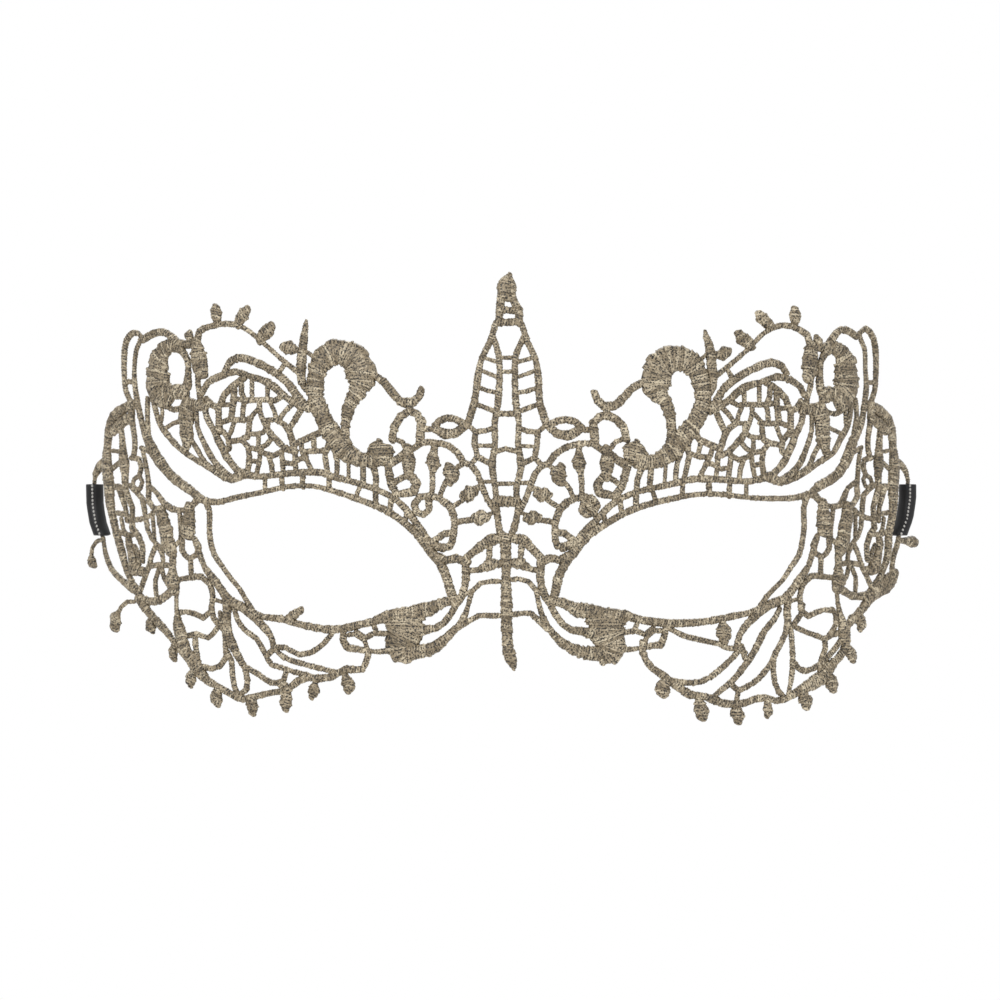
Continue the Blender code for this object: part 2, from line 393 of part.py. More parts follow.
# The right half hangs a little apart from its twin: column, row, then how far out and how far up.
HANG = {
    "lantern": ((6, 280, 8, 0), (8, 268, 6, 0), (16, 248, 6.5, 0), (24, 232, 6, 0), (28, 212, 5, -1),
        (31, 190, 3, 0), (38, 166, 3, 0), (7, 236, 3, 0), (6, 210, 3, 0), (8, 185, 2.5, 0),
        (10.5, 148, 2, 0), (13.5, 124, 2, 0), (10, 100, 0, -2), (8.5, 80, 4, 0), (6, 60, 2, 1),
        (31, 146, 0, -1)),
    "leaf": ((58, 173, 3, -2), (71, 163, 4.5, 0.5), (60, 156, 4, -1), (54.5, 116, -2, -1),
        (72.5, 129, 0.5, -1), (73, 108, 3.5, -1), (57, 145, 1, -3)),
    "hook": ((96, 180, 6, -5), (84, 169, 3, -2), (86, 150, 3.5, -1), (111, 164, 8, -1),
        (113.5, 151, 7.5, 1), (98, 187, 5, -3), (84, 201, 5, -3)),
    "comma": ((132, 216, 5, -9), (122, 209, 4, -7), (114, 199, 4, -6), (130, 225, 6, -5),
        (165, 251, 5, -6), (168, 226, 6, -7), (190.5, 206, 6, -2), (186, 181, 10, 0), (181, 170, 10, 0),
        (175, 159, 9, 1), (167, 149, 6, 1), (157.5, 181, 5, 1), (160.5, 158, 5, 2), (125, 138, 4.5, -1),
        (97, 128, 4.5, -1)),
    "brow": ((199, 270, 0.5, -10.5), (203, 240, 2, -2), (190, 156, 3, -6), (193, 139.5, 0, -6),
        (184, 118, 0, -7), (192, 104.5, 0, -8.5), (168, 98, 0, -6), (145, 90.5, 0, -3.5),
        (155, 109.5, 2, -5), (130, 85, 0, -3), (115, 79, 0, -2), (100, 67, -1, -1)),
    "eye corner": ((85, 53, -3.5, 2), (74, 38, -5, 2), (66, 28, -6, 0), (58.5, 12, -6.5, 1),
        (55, 0, -5, 0), (39.5, 14, -5.5, -1), (41, 3, -6, 0), (44, -6, -4, 0)),
    "nose": ((14, 9.5, 0, 2.5), (25, 7.5, -2, 2), (34, -1, -2.5, 2), (41, -26, -4, -1), (27, -25, -1, 3),
        (52, -40, -5, -3), (61, -49, -4, -4), (76, -59, -1, -2), (50, -15, -5, -1), (62, -32, -5, -1),
        (101, -40, 0, 0)),
    "lower rim": ((162.5, -50, -5.5, 2), (148, -58, 1, 4), (132, -30.5, 0, 2), (163, -38, 0, 6),
        (180, -38.5, 0, 6.5), (195, -36, 0, 4.5), (225, -28, 0, 2), (243, -26, 0, 4), (254, -18, 1, 3)),
    "dome": ((289, 277, 0.5, -2), (263, 275, -6, -4), (240, 258, -1, -8), (217, 243, 1, -6),
        (306, 259, -5, -3), (277, 267, 1, -1), (250, 253, 0, -7), (230, 237, 0, -6), (266, 233, -1, -5),
        (281, 219, 0, 0), (240, 223, 0, -6), (220, 210, 0, -6), (270, 219, 2, -6), (286, 214, 0, -5),
        (297, 208.5, -3, -5), (303, 198, -5, -3), (254, 214, 0, -6), (307, 234, -2, -1),
        (304, 218, -1, -3)),
    "oval scroll": ((316, 254, -4, -5), (341, 258.5, -6, 3), (328, 222, -4.5, 0), (359, 215, -8, 0),
        (346, 240, -6, -3), (332, 181, -2, -4), (332, 167.5, -3, -8), (326, 142.5, 2, -5),
        (301, 126, 2, -6), (288, 117.5, 0, -6)),
    "outer loop": ((364, 254, -11, 3), (372, 258, -13, 5), (381, 222, -12, -2), (371, 222, -12, -2),
        (379.5, 200, -11, 0), (368, 190, -9, 0), (357, 151, -10, 0), (351, 138, -8, 0)),
    "side edge": ((392, 172, -11, -1), (398, 143, -11, 0), (398, 116, -10, 0), (395, 90, -8, 0),
        (390, 62, -6, 0), (383, 38, -1, 0)),
    "wing": ((218, 104, 0, -8), (243, 98.5, 0, -5.5), (270, 93, 0, -1), (288, 88.5, 1, 5),
        (300, 90, 2, 7), (323, 80, 2, 4), (348, 97, -6, 6), (313, 99, -2, 5)),
    "temple": ((296, 72, 3, 0), (291, 36, 2.5, 0), (274, 11.5, 3, -1), (316, 43, 0, 2),
        (356, -10.5, 1, 6), (357, -21, -2, 1)),
}


def plan_table():
    """Angle, arc length and offset table of the face curve, from the nose to the temple."""
    angle = np.linspace(0, math.pi / 2, 901)
    across = FACE_HALF_BREADTH * np.sin(angle)
    back = FACE_DEPTH * (1 - np.cos(angle))
    steps = np.hypot(np.diff(across), np.diff(back))
    return across, back, np.concatenate(([0], np.cumsum(steps)))


PLAN_X, PLAN_Y, PLAN_ARC = plan_table()


def unroll(column, row):
    """Chart position to the flat lace: arc length from the middle, height."""
    across = column * SQUARE_X
    arc = math.copysign(float(np.interp(abs(across), PLAN_X, PLAN_ARC)), across)
    return arc, row * SQUARE_Z


def lean(height):
    """How far the lace lies back over the brow."""
    crown = CROWN_ROW * SQUARE_Z
    return BROW_LEAN * max(0.0, (height / crown - BROW_SHARE) / (1 - BROW_SHARE)) ** 2


def nose_ridge(across, height):
    """How far the lace stands forward over the nose."""
    low = 0.5 + 0.5 * math.tanh((NOSE_TOP - height) / NOSE_FADE)
    return NOSE_RIDGE * math.exp(-(across / NOSE_RIDGE_SPREAD) ** 2) * low


# The back of the lace touches the nose at the origin.
SEAT = nose_ridge(0, 0) - LACE_THICKNESS / 2


def surface(arc, height):
    """Flat lace to the face: the face curve, leaning back over the brow, lifted over the nose."""
    across = math.copysign(float(np.interp(abs(arc), PLAN_ARC, PLAN_X)), arc)
    back = float(np.interp(abs(arc), PLAN_ARC, PLAN_Y))
    return np.array((across, SEAT + back + lean(height) - nose_ridge(across, height), height))


def normal(arc, height):
    """Unit normal of the lace, pointing forward and out."""
    h = 1e-5
    along = surface(arc + h, height) - surface(arc - h, height)
    up = surface(arc, height + h) - surface(arc, height - h)
    n = np.cross(along, up)
    return n / np.linalg.norm(n)


def stretch(column):
    """How much longer the curved lace is than its front view here."""
    share = abs(column) * SQUARE_X / FACE_HALF_BREADTH
    slope = FACE_DEPTH / FACE_HALF_BREADTH * share / math.sqrt(1 - share * share)
    return math.hypot(1, slope)


def hang(column, row):
    """Where the wearer's left half hangs against its mirrored twin, from the nearest marks."""
    total = shift_c = shift_r = 0.0
    for c, r, dc, dr in (mark for marks in HANG.values() for mark in marks):
        weight = 1 / ((column - c) ** 2 + (row - r) ** 2 + HANG_BLUR ** 2) ** 1.5
        total += weight
        shift_c += weight * dc
        shift_r += weight * dr
    return column + shift_c / total, row + shift_r / total


def spline(rows, step):
    """Rows (x, y, breadth) filled in along a centripetal curve, about one step apart."""
    rows = [np.array(row, float) for row in rows]
    if len(rows) == 2:
        count = max(1, round(np.linalg.norm((rows[1] - rows[0])[:2]) / (2 * step)))
        return [rows[0] + (rows[1] - rows[0]) * i / count for i in range(count + 1)]
    closed = np.linalg.norm((rows[0] - rows[-1])[:2]) < step / 100
    first = rows[-2] if closed else 2 * rows[0] - rows[1]
    last = rows[1] if closed else 2 * rows[-1] - rows[-2]
    line = [first] + rows + [last]
    out = []
    for p0, p1, p2, p3 in zip(line, line[1:], line[2:], line[3:]):
        gaps = [max(np.linalg.norm((b - a)[:2]), 1e-9) ** 0.5 for a, b in ((p0, p1), (p1, p2), (p2, p3))]
        t0, t1 = 0.0, gaps[0]
        t2 = t1 + gaps[1]
        t3 = t2 + gaps[2]
        count = max(1, round(np.linalg.norm((p2 - p1)[:2]) / step))
        for i in range(count):
            t = t1 + (t2 - t1) * i / count
            a1 = (p0 * (t1 - t) + p1 * (t - t0)) / (t1 - t0)
            a2 = (p1 * (t2 - t) + p2 * (t - t1)) / (t2 - t1)
            a3 = (p2 * (t3 - t) + p3 * (t - t2)) / (t3 - t2)
            b1 = (a1 * (t2 - t) + a2 * (t - t0)) / (t2 - t0)
            b2 = (a2 * (t3 - t) + a3 * (t - t1)) / (t3 - t1)
            out.append((b1 * (t2 - t) + b2 * (t - t1)) / (t2 - t1))
    out.append(rows[-1])
    return out


def convex(points):
    """Counter-clockwise hull of a few points."""
    points = sorted({(round(x, 9), round(y, 9)) for x, y in points})
    if len(points) < 3:
        return []

    def chain(row):
        out = []
        for p in row:
            while len(out) > 1 and ((out[-1][0] - out[-2][0]) * (p[1] - out[-2][1])
                                    - (out[-1][1] - out[-2][1]) * (p[0] - out[-2][0])) <= 1e-14:
                out.pop()
            out.append(p)
        return out[:-1]

    return chain(points) + chain(points[::-1])


def strips(line):
    """A cord as convex pieces: a strip for each step, and a round end at both ends."""
    line = np.array(line)
    xy = line[:, :2]
    heading = np.gradient(xy, axis=0)
    if np.linalg.norm(xy[0] - xy[-1]) < 1e-7:
        heading[0] = heading[-1] = xy[1] - xy[-2]
    heading /= np.linalg.norm(heading, axis=1)[:, None]
    across = np.stack((-heading[:, 1], heading[:, 0]), axis=1) * line[:, 2:3] / 2
    left, right = xy + across, xy - across
    pieces = [convex([left[i], left[i + 1], right[i + 1], right[i]]) for i in range(len(line) - 1)]
    for i in (0, len(line) - 1):
        if line[i, 2] > SATIN_BREADTH * SQUARE_Z:
            continue
        turns = [math.tau * k / 8 + 0.2 for k in range(8)]
        pieces.append(convex([xy[i] + line[i, 2] / 2 * np.array((math.cos(t), math.sin(t))) for t in turns]))
    return [piece for piece in pieces if len(piece) > 2]


def union_loops(pieces):
    """Outline loops of many overlapping convex pieces, the solid side on the left."""
    verts, faces = [], []
    for piece in pieces:
        faces.append(list(range(len(verts), len(verts) + len(piece))))
        verts += piece
    out = delaunay_2d_cdt(verts, [], faces, 0, 1e-8, True)
    points = np.array([(v.x, v.y) for v in out[0]])
    edges = set()
    for face, owners in zip(out[2], out[5]):
        if owners:
            for a, b in zip(face, list(face[1:]) + [face[0]]):
                if (b, a) in edges:
                    edges.discard((b, a))
                else:
                    edges.add((a, b))
    following = {}
    for a, b in edges:
        following.setdefault(a, []).append(b)
    loops = []
    while following:
        start = min(following)
        loop, here, before = [], start, None
        while True:
            loop.append(here)
            choices = following[here]
            if before is None or len(choices) == 1:
                after = choices[0]
            else:
                came = points[here] - points[before]

                def turn(k):
                    went = points[k] - points[here]
                    return math.atan2(came[0] * went[1] - came[1] * went[0], came @ went)

                after = max(choices, key=turn)
            choices.remove(after)
            if not choices:
                del following[here]
            before, here = here, after
            if here == start:
                break
        loops.append(points[loop])
    return loops


def area(loop):
    x, y = loop[:, 0], loop[:, 1]
    return 0.5 * float(np.sum(x * np.roll(y, -1) - y * np.roll(x, -1)))


def simplify(loop, tolerance):
    """The loop with the points left out that lie within the tolerance of its sides."""
    far = int(np.argmax(np.linalg.norm(loop - loop[0], axis=1)))

    def thin(points):
        if len(points) < 3:
            return points[:1]
        base = points[-1] - points[0]
        length = np.linalg.norm(base)
        rel = points - points[0]
        off = np.abs(base[0] * rel[:, 1] - base[1] * rel[:, 0]) / max(length, 1e-12)
        k = int(np.argmax(off))
        if off[k] < tolerance:
            return points[:1]
        return np.concatenate((thin(points[:k + 1]), thin(points[k:])))

    return np.concatenate((thin(loop[:far + 1]), thin(np.concatenate((loop[far:], loop[:1])))))


def part_corners(loops):
    """Blunts the corners where two gaps would meet in one point."""
    seen = {}
    for loop in loops:
        for point in loop:
            key = tuple(np.round(point, 6))
            seen[key] = seen.get(key, 0) + 1
    out = []
    for loop in loops:
        middles = (np.roll(loop, 1, axis=0) + np.roll(loop, -1, axis=0)) / 2
        pull = middles - loop
        pull /= np.maximum(np.linalg.norm(pull, axis=1), 1e-9)[:, None]
        shared = np.array([seen[tuple(np.round(point, 6))] > 1 for point in loop])
        out.append(loop + pull * shared[:, None] * CORNER_BLUNT)
    return out


def crossings(loops):
    """Points where outline sides cross."""
    verts, edges = [], []
    for loop in loops:
        first = len(verts)
        verts += [tuple(p) for p in loop]
        edges += [(first + i, first + (i + 1) % len(loop)) for i in range(len(loop))]
    out = delaunay_2d_cdt(verts, edges, [], 0, 1e-8, True)
    return [tuple(v) for v, orig in zip(out[0], out[3]) if not orig]


def distance(point, starts, ends):
    """Distance from a point to the nearest of the outline sides."""
    side = ends - starts
    t = np.clip(np.sum((point - starts) * side, axis=1) / np.sum(side * side, axis=1), 0, 1)
    return float(np.min(np.linalg.norm(starts + side * t[:, None] - point, axis=1)))


def thinned(loops):
    """Outlines with fewer points, kept finer where they would otherwise cross."""
    fine = [OUTLINE_TOLERANCE] * len(loops)
    while True:
        thin = part_corners([simplify(loop, limit) for loop, limit in zip(loops, fine)])
        knots = crossings(thin)
        if not knots:
            return thin
        for i, loop in enumerate(thin):
            if any(distance(np.array(knot), loop, np.roll(loop, -1, axis=0)) < 1e-6 for knot in knots):
                fine[i] *= 0.8


def inside(point, starts, ends):
    """Even-odd test of a point against all outline sides."""
    x, y = point
    crosses = (starts[:, 1] > y) != (ends[:, 1] > y)
    a, b = starts[crosses], ends[crosses]
    at = a[:, 0] + (y - a[:, 1]) * (b[:, 0] - a[:, 0]) / (b[:, 1] - a[:, 1])
    return int(np.sum(at > x)) % 2 == 1


def solid(name, loops, extra, place):
    """Closed solid between the outline loops; place(x, y, rise, side) puts a point in space."""
    verts, edges = [], []
    for loop in loops:
        first = len(verts)
        verts += [tuple(p) for p in loop]
        edges += [(first + i, first + (i + 1) % len(loop)) for i in range(len(loop))]
    starts = np.array([verts[a] for a, _ in edges])
    ends = np.array([verts[b] for _, b in edges])
    rises = [0.0] * len(verts)
    for x, y, rise in extra:
        if inside((x, y), starts, ends):
            if distance(np.array((x, y)), starts, ends) > SATIN_EDGE:
                verts.append((x, y))
                rises.append(rise)
    out = delaunay_2d_cdt(verts, edges, [], 0, 1e-8, True)
    points = [(v.x, v.y) for v in out[0]]
    rise_of = [rises[orig[0]] if orig else 0.0 for orig in out[3]]
    mesh = bmesh.new()
    front = [mesh.verts.new(place(x, y, r, 1)) for (x, y), r in zip(points, rise_of)]
    back = [mesh.verts.new(place(x, y, r, -1)) for (x, y), r in zip(points, rise_of)]
    sides = set()
    for face in out[2]:
        middle = np.mean([points[k] for k in face], axis=0)
        if not inside(middle, starts, ends):
            continue
        mesh.faces.new([front[k] for k in face])
        mesh.faces.new([back[k] for k in reversed(face)])
        for a, b in zip(face, list(face[1:]) + [face[0]]):
            if (b, a) in sides:
                sides.discard((b, a))
            else:
                sides.add((a, b))
    for a, b in sorted(sides):
        mesh.faces.new((front[b], front[a], back[a], back[b]))
    bmesh.ops.delete(mesh, geom=[v for v in mesh.verts if not v.link_faces], context="VERTS")
    bmesh.ops.triangulate(mesh, faces=mesh.faces[:])
    bmesh.ops.recalc_face_normals(mesh, faces=mesh.faces[:])
    return finish(name, mesh, CHAMPAGNE_THREAD)


def charted(cords, turned, hung=False):
    """Cords of the chart as (motif, rows of column, row, breadth), columns to the viewer's right."""
    for motif, breadth, points in cords:
        breadths = breadth if isinstance(breadth, tuple) else (breadth,)
        at = np.linspace(0, len(breadths) - 1, len(points))
        wide = np.interp(at, range(len(breadths)), breadths)
        if hung:
            points = [hang(*point) for point in points]
        yield motif, [(turned * c, r, w) for (c, r), w in zip(points, wide)]


def all_cords():
    yield from charted(MIDDLE_CORDS, -1)
    yield from charted(SIDE_CORDS, -1)
    yield from charted(LEFT_CORDS, -1)
    yield from charted(SIDE_CORDS, 1, True)
    yield from charted(RIGHT_CORDS, 1)


def flat_line(rows):
    """A charted cord on the flat lace; broad satin opens out where the lace turns away."""
    out = []
    for i, (column, row, wide) in enumerate(rows):
        a, b = rows[max(0, i - 1)], rows[min(len(rows) - 1, i + 1)]
        heading = math.atan2(b[1] - a[1], b[0] - a[0])
        satin = min(max((wide - CORD_BREADTH) / (SATIN_BREADTH - CORD_BREADTH), 0), 1)
        open_out = 1 + (stretch(column) - 1) * abs(math.sin(heading)) * satin
        out.append((*unroll(column, row), wide * SQUARE_Z * open_out))
    return spline(out, CORD_STEP)


def lace():
    pieces, ridge = [], []
    for motif, rows in all_cords():
        line = flat_line(rows)
        pieces += strips(line)
        walked = 0.0
        for before, here in zip(line, line[1:]):
            walked += np.linalg.norm((here - before)[:2])
            if here[2] > SATIN_BREADTH * SQUARE_Z and walked > 2.5 * CORD_STEP:
                ridge.append((here[0], here[1], SATIN_RISE))
                walked = 0.0
    loops = union_loops(pieces)
    outer = max(loops, key=area)
    gaps = sorted((loop for loop in loops if area(loop) < 0), key=area)[:GAPS]
    keep = thinned([outer] + gaps)

    def place(arc, height, rise, side):
        out = LACE_THICKNESS / 2 + (rise if side > 0 else 0)
        return surface(arc, height) + side * out * normal(arc, height)

    return solid("lace_mask", keep, ridge, place)


def bar_point(cords, row, turned):
    """Plan position of the ear bar at a row of the chart."""
    bar = sorted((r, c) for motif, _, points in cords if motif == "ear bar" for c, r in points)
    column = turned * float(np.interp(row, [r for r, _ in bar], [c for _, c in bar]))
    return surface(*unroll(column, row))[:2]


def ribbon_profile(cords, turned, row):
    """Plan outline of a tie ribbon and its eyelet at one row, laid back from the ear bar."""
    bar = bar_point(cords, row, turned)

    def near(along, out):
        """Point by its distance behind the bar and outwards; the ribbon bows in along the temple."""
        bow = RIBBON_BOW * max(0.0, along / RIBBON_LENGTH) ** 2
        return bar + (turned * (out - bow), along)

    inner = math.hypot(LACE_THICKNESS, BAR_BREADTH * SQUARE_Z) / 2 + RIBBON_CLEARANCE
    outer = inner + RIBBON_THICKNESS
    close = EYELET_LENGTH + RIBBON_THICKNESS
    tail = close + RIBBON_TAIL
    half_turn = [math.pi / 2 + math.pi * k / 8 for k in range(9)]
    tip = [near(outer * math.cos(t), outer * math.sin(t)) for t in half_turn]
    lap = [near(close, -RIBBON_THICKNESS), near(tail, -RIBBON_THICKNESS), near(tail, 0)]
    turns = np.linspace(1.25 * tail, RIBBON_LENGTH, RIBBON_STEPS)
    inside_run = [near(along, 0) for along in turns]
    outside_run = [near(along, RIBBON_THICKNESS) for along in turns]
    band = [near(close, RIBBON_THICKNESS)] + tip + lap + inside_run + outside_run[::-1]
    hole = [near(inner * math.cos(t), inner * math.sin(t)) for t in half_turn]
    return [band, hole + [near(EYELET_LENGTH, 0)]]


def tie_ribbon(name, cords, turned):
    """A tie ribbon, folded round its ear bar, stitched down and laid back along the temple."""
    middle = RIBBON_MIDDLE_HEIGHT / SQUARE_Z
    half = RIBBON_WIDTH / 2 / SQUARE_Z
    mesh = bmesh.new()
    levels = []
    for row in np.linspace(middle - half, middle + half, RIBBON_LEVELS):
        loops = ribbon_profile(cords, turned, row)
        levels.append([[mesh.verts.new((*p, row * SQUARE_Z)) for p in loop] for loop in loops])
    for low, high in zip(levels, levels[1:]):
        for below, above in zip(low, high):
            for i in range(len(below)):
                k = (i + 1) % len(below)
                mesh.faces.new((below[i], below[k], above[k], above[i]))
    for level in (levels[0], levels[-1]):
        flat = [v for loop in level for v in loop]
        starts = np.array([v.co[:2] for v in flat])
        edges, first = [], 0
        for loop in level:
            edges += [(first + i, first + (i + 1) % len(loop)) for i in range(len(loop))]
            first += len(loop)
        ends = starts[[b for _, b in edges]]
        out = delaunay_2d_cdt([v.co.xy for v in flat], edges, [], 0, 1e-8, True)
        owner = [orig[0] for orig in out[3]]
        for face in out[2]:
            if inside(np.mean([out[0][k] for k in face], axis=0), starts, ends):
                mesh.faces.new([flat[owner[k]] for k in face])
    bmesh.ops.triangulate(mesh, faces=mesh.faces[:])
    bmesh.ops.recalc_face_normals(mesh, faces=mesh.faces[:])
    return finish(name, mesh, BLACK_SATIN)


def finish(name, mesh, look):
    """The mesh as a named object with its material."""
    data = bpy.data.meshes.new(name)
    mesh.to_mesh(data)
    mesh.free()
    colour, metallic, roughness = look
    material = bpy.data.materials.new(name)
    material.use_nodes = True
    shader = material.node_tree.nodes["Principled BSDF"]
    shader.inputs["Base Color"].default_value = (*colour, 1)
    shader.inputs["Metallic"].default_value = metallic
    shader.inputs["Roughness"].default_value = roughness
    data.materials.append(material)
    thing = bpy.data.objects.new(name, data)
    bpy.context.scene.collection.objects.link(thing)
    return thing


def clear_scene():
    for thing in list(bpy.data.objects):
        bpy.data.objects.remove(thing, do_unlink=True)


clear_scene()
lace()
tie_ribbon("ribbon_left", LEFT_CORDS, -1)
tie_ribbon("ribbon_right", RIGHT_CORDS, 1)
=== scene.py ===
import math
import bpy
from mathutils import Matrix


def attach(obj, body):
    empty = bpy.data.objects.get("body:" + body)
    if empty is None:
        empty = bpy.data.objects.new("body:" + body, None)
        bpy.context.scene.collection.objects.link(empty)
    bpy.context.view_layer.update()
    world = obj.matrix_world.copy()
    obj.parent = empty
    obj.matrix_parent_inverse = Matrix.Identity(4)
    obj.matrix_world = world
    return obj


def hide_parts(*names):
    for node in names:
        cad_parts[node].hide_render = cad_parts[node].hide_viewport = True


bl_info = {
    "name": "Corded lace eye mask",
    "version": (1, 0, 0),
    "blender": (4, 5, 0),
    "location": "View3D > Sidebar > Eye mask",
    "description": "Masquerade eye mask of corded lace with two satin tie ribbons",
    "category": "Object",
}

import bpy
import numpy as np
from bpy.props import FloatProperty, FloatVectorProperty, IntProperty, PointerProperty
from mathutils import Vector

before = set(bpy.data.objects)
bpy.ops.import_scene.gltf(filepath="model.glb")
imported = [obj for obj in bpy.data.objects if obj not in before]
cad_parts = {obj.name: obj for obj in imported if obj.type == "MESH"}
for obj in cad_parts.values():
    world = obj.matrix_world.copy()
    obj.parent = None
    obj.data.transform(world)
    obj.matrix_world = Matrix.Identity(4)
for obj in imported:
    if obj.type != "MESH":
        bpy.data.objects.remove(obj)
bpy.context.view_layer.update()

# The face curve and the lace, in metres, as the solids have them.
FACE_MARGIN = 0.0045
FACE_DEPTH = 0.075
NOSE_RIDGE = 0.006
NOSE_RIDGE_SPREAD = 0.014
NOSE_TOP = 0.028
NOSE_FADE = 0.022
BROW_LEAN = 0.010
BROW_SHARE = 0.15
MASK_BREADTH = 0.1670
FACE_HALF_BREADTH = MASK_BREADTH / 2 + FACE_MARGIN
MASK_HEIGHT = 0.0890
LACE_THICKNESS = 0.0010
RIBBON_BOW = 0.0008

# The chart: 835 columns from temple to temple, 445 rows from the lowest tip to the crown knob.
CHART_COLUMNS = 835
CHART_ROWS = 445
CROWN_ROW = 317
SATIN_BREADTH = 11
CORD_BREADTH = 7
HANG_BLUR = 7
SQUARE_X = MASK_BREADTH / CHART_COLUMNS
SQUARE_Z = MASK_HEIGHT / CHART_ROWS

# The regions of the lace: each becomes one object, split by side and by a row of the chart.
CENTRE_COLUMNS = 62
BROW_ROW = 88

# Cords: motif, breadth in squares (or breadths along it), then its (column, row) points.
MIDDLE_CORDS = (
    ("knob", (5, 15, 21, 17), ((-4.5, 316), (-3, 310), (-1, 302), (-1, 295))),
    ("knob foot", 7, ((9, 268), (-3, 268.5), (-14, 269))),
    ("knob bar", 7, ((6, 281), (-3, 280.5), (-12, 280))),
    ("knob neck", (8, 8, 8, 7), ((4, 297), (5, 288), (6, 279), (7, 268))),
    ("knob neck", (8, 8, 9, 8, 7), ((-6, 297), (-9, 288), (-13, 281), (-13.5, 275), (-13, 267))),
    ("lantern bar 1", 4, ((4, 233), (-8, 233))),
    ("lantern bar 2", 4, ((6, 219), (-8, 219))),
    ("lantern bar 3", 6, ((9, 177), (-11, 177))),
    ("lantern arc", 5, ((10, 139), (0, 142), (-12, 139))),
    ("lantern bar 4", 4, ((9, 107), (-9, 107))),
    ("lantern bar 5", 11, ((9, 89.5), (-10, 89))),
    ("stem", (11, 11, 11, 9, 10, 11, 11.5, 11, 11, 13, 8, 3),
     ((0, 53), (0, 42), (-0.5, 31), (-0.5, 20), (-0.5, 5), (-1, -10), (-1, -30), (-1.5, -45),
      (-2.5, -58), (-5, -68), (-7, -74), (-8, -79))),
)

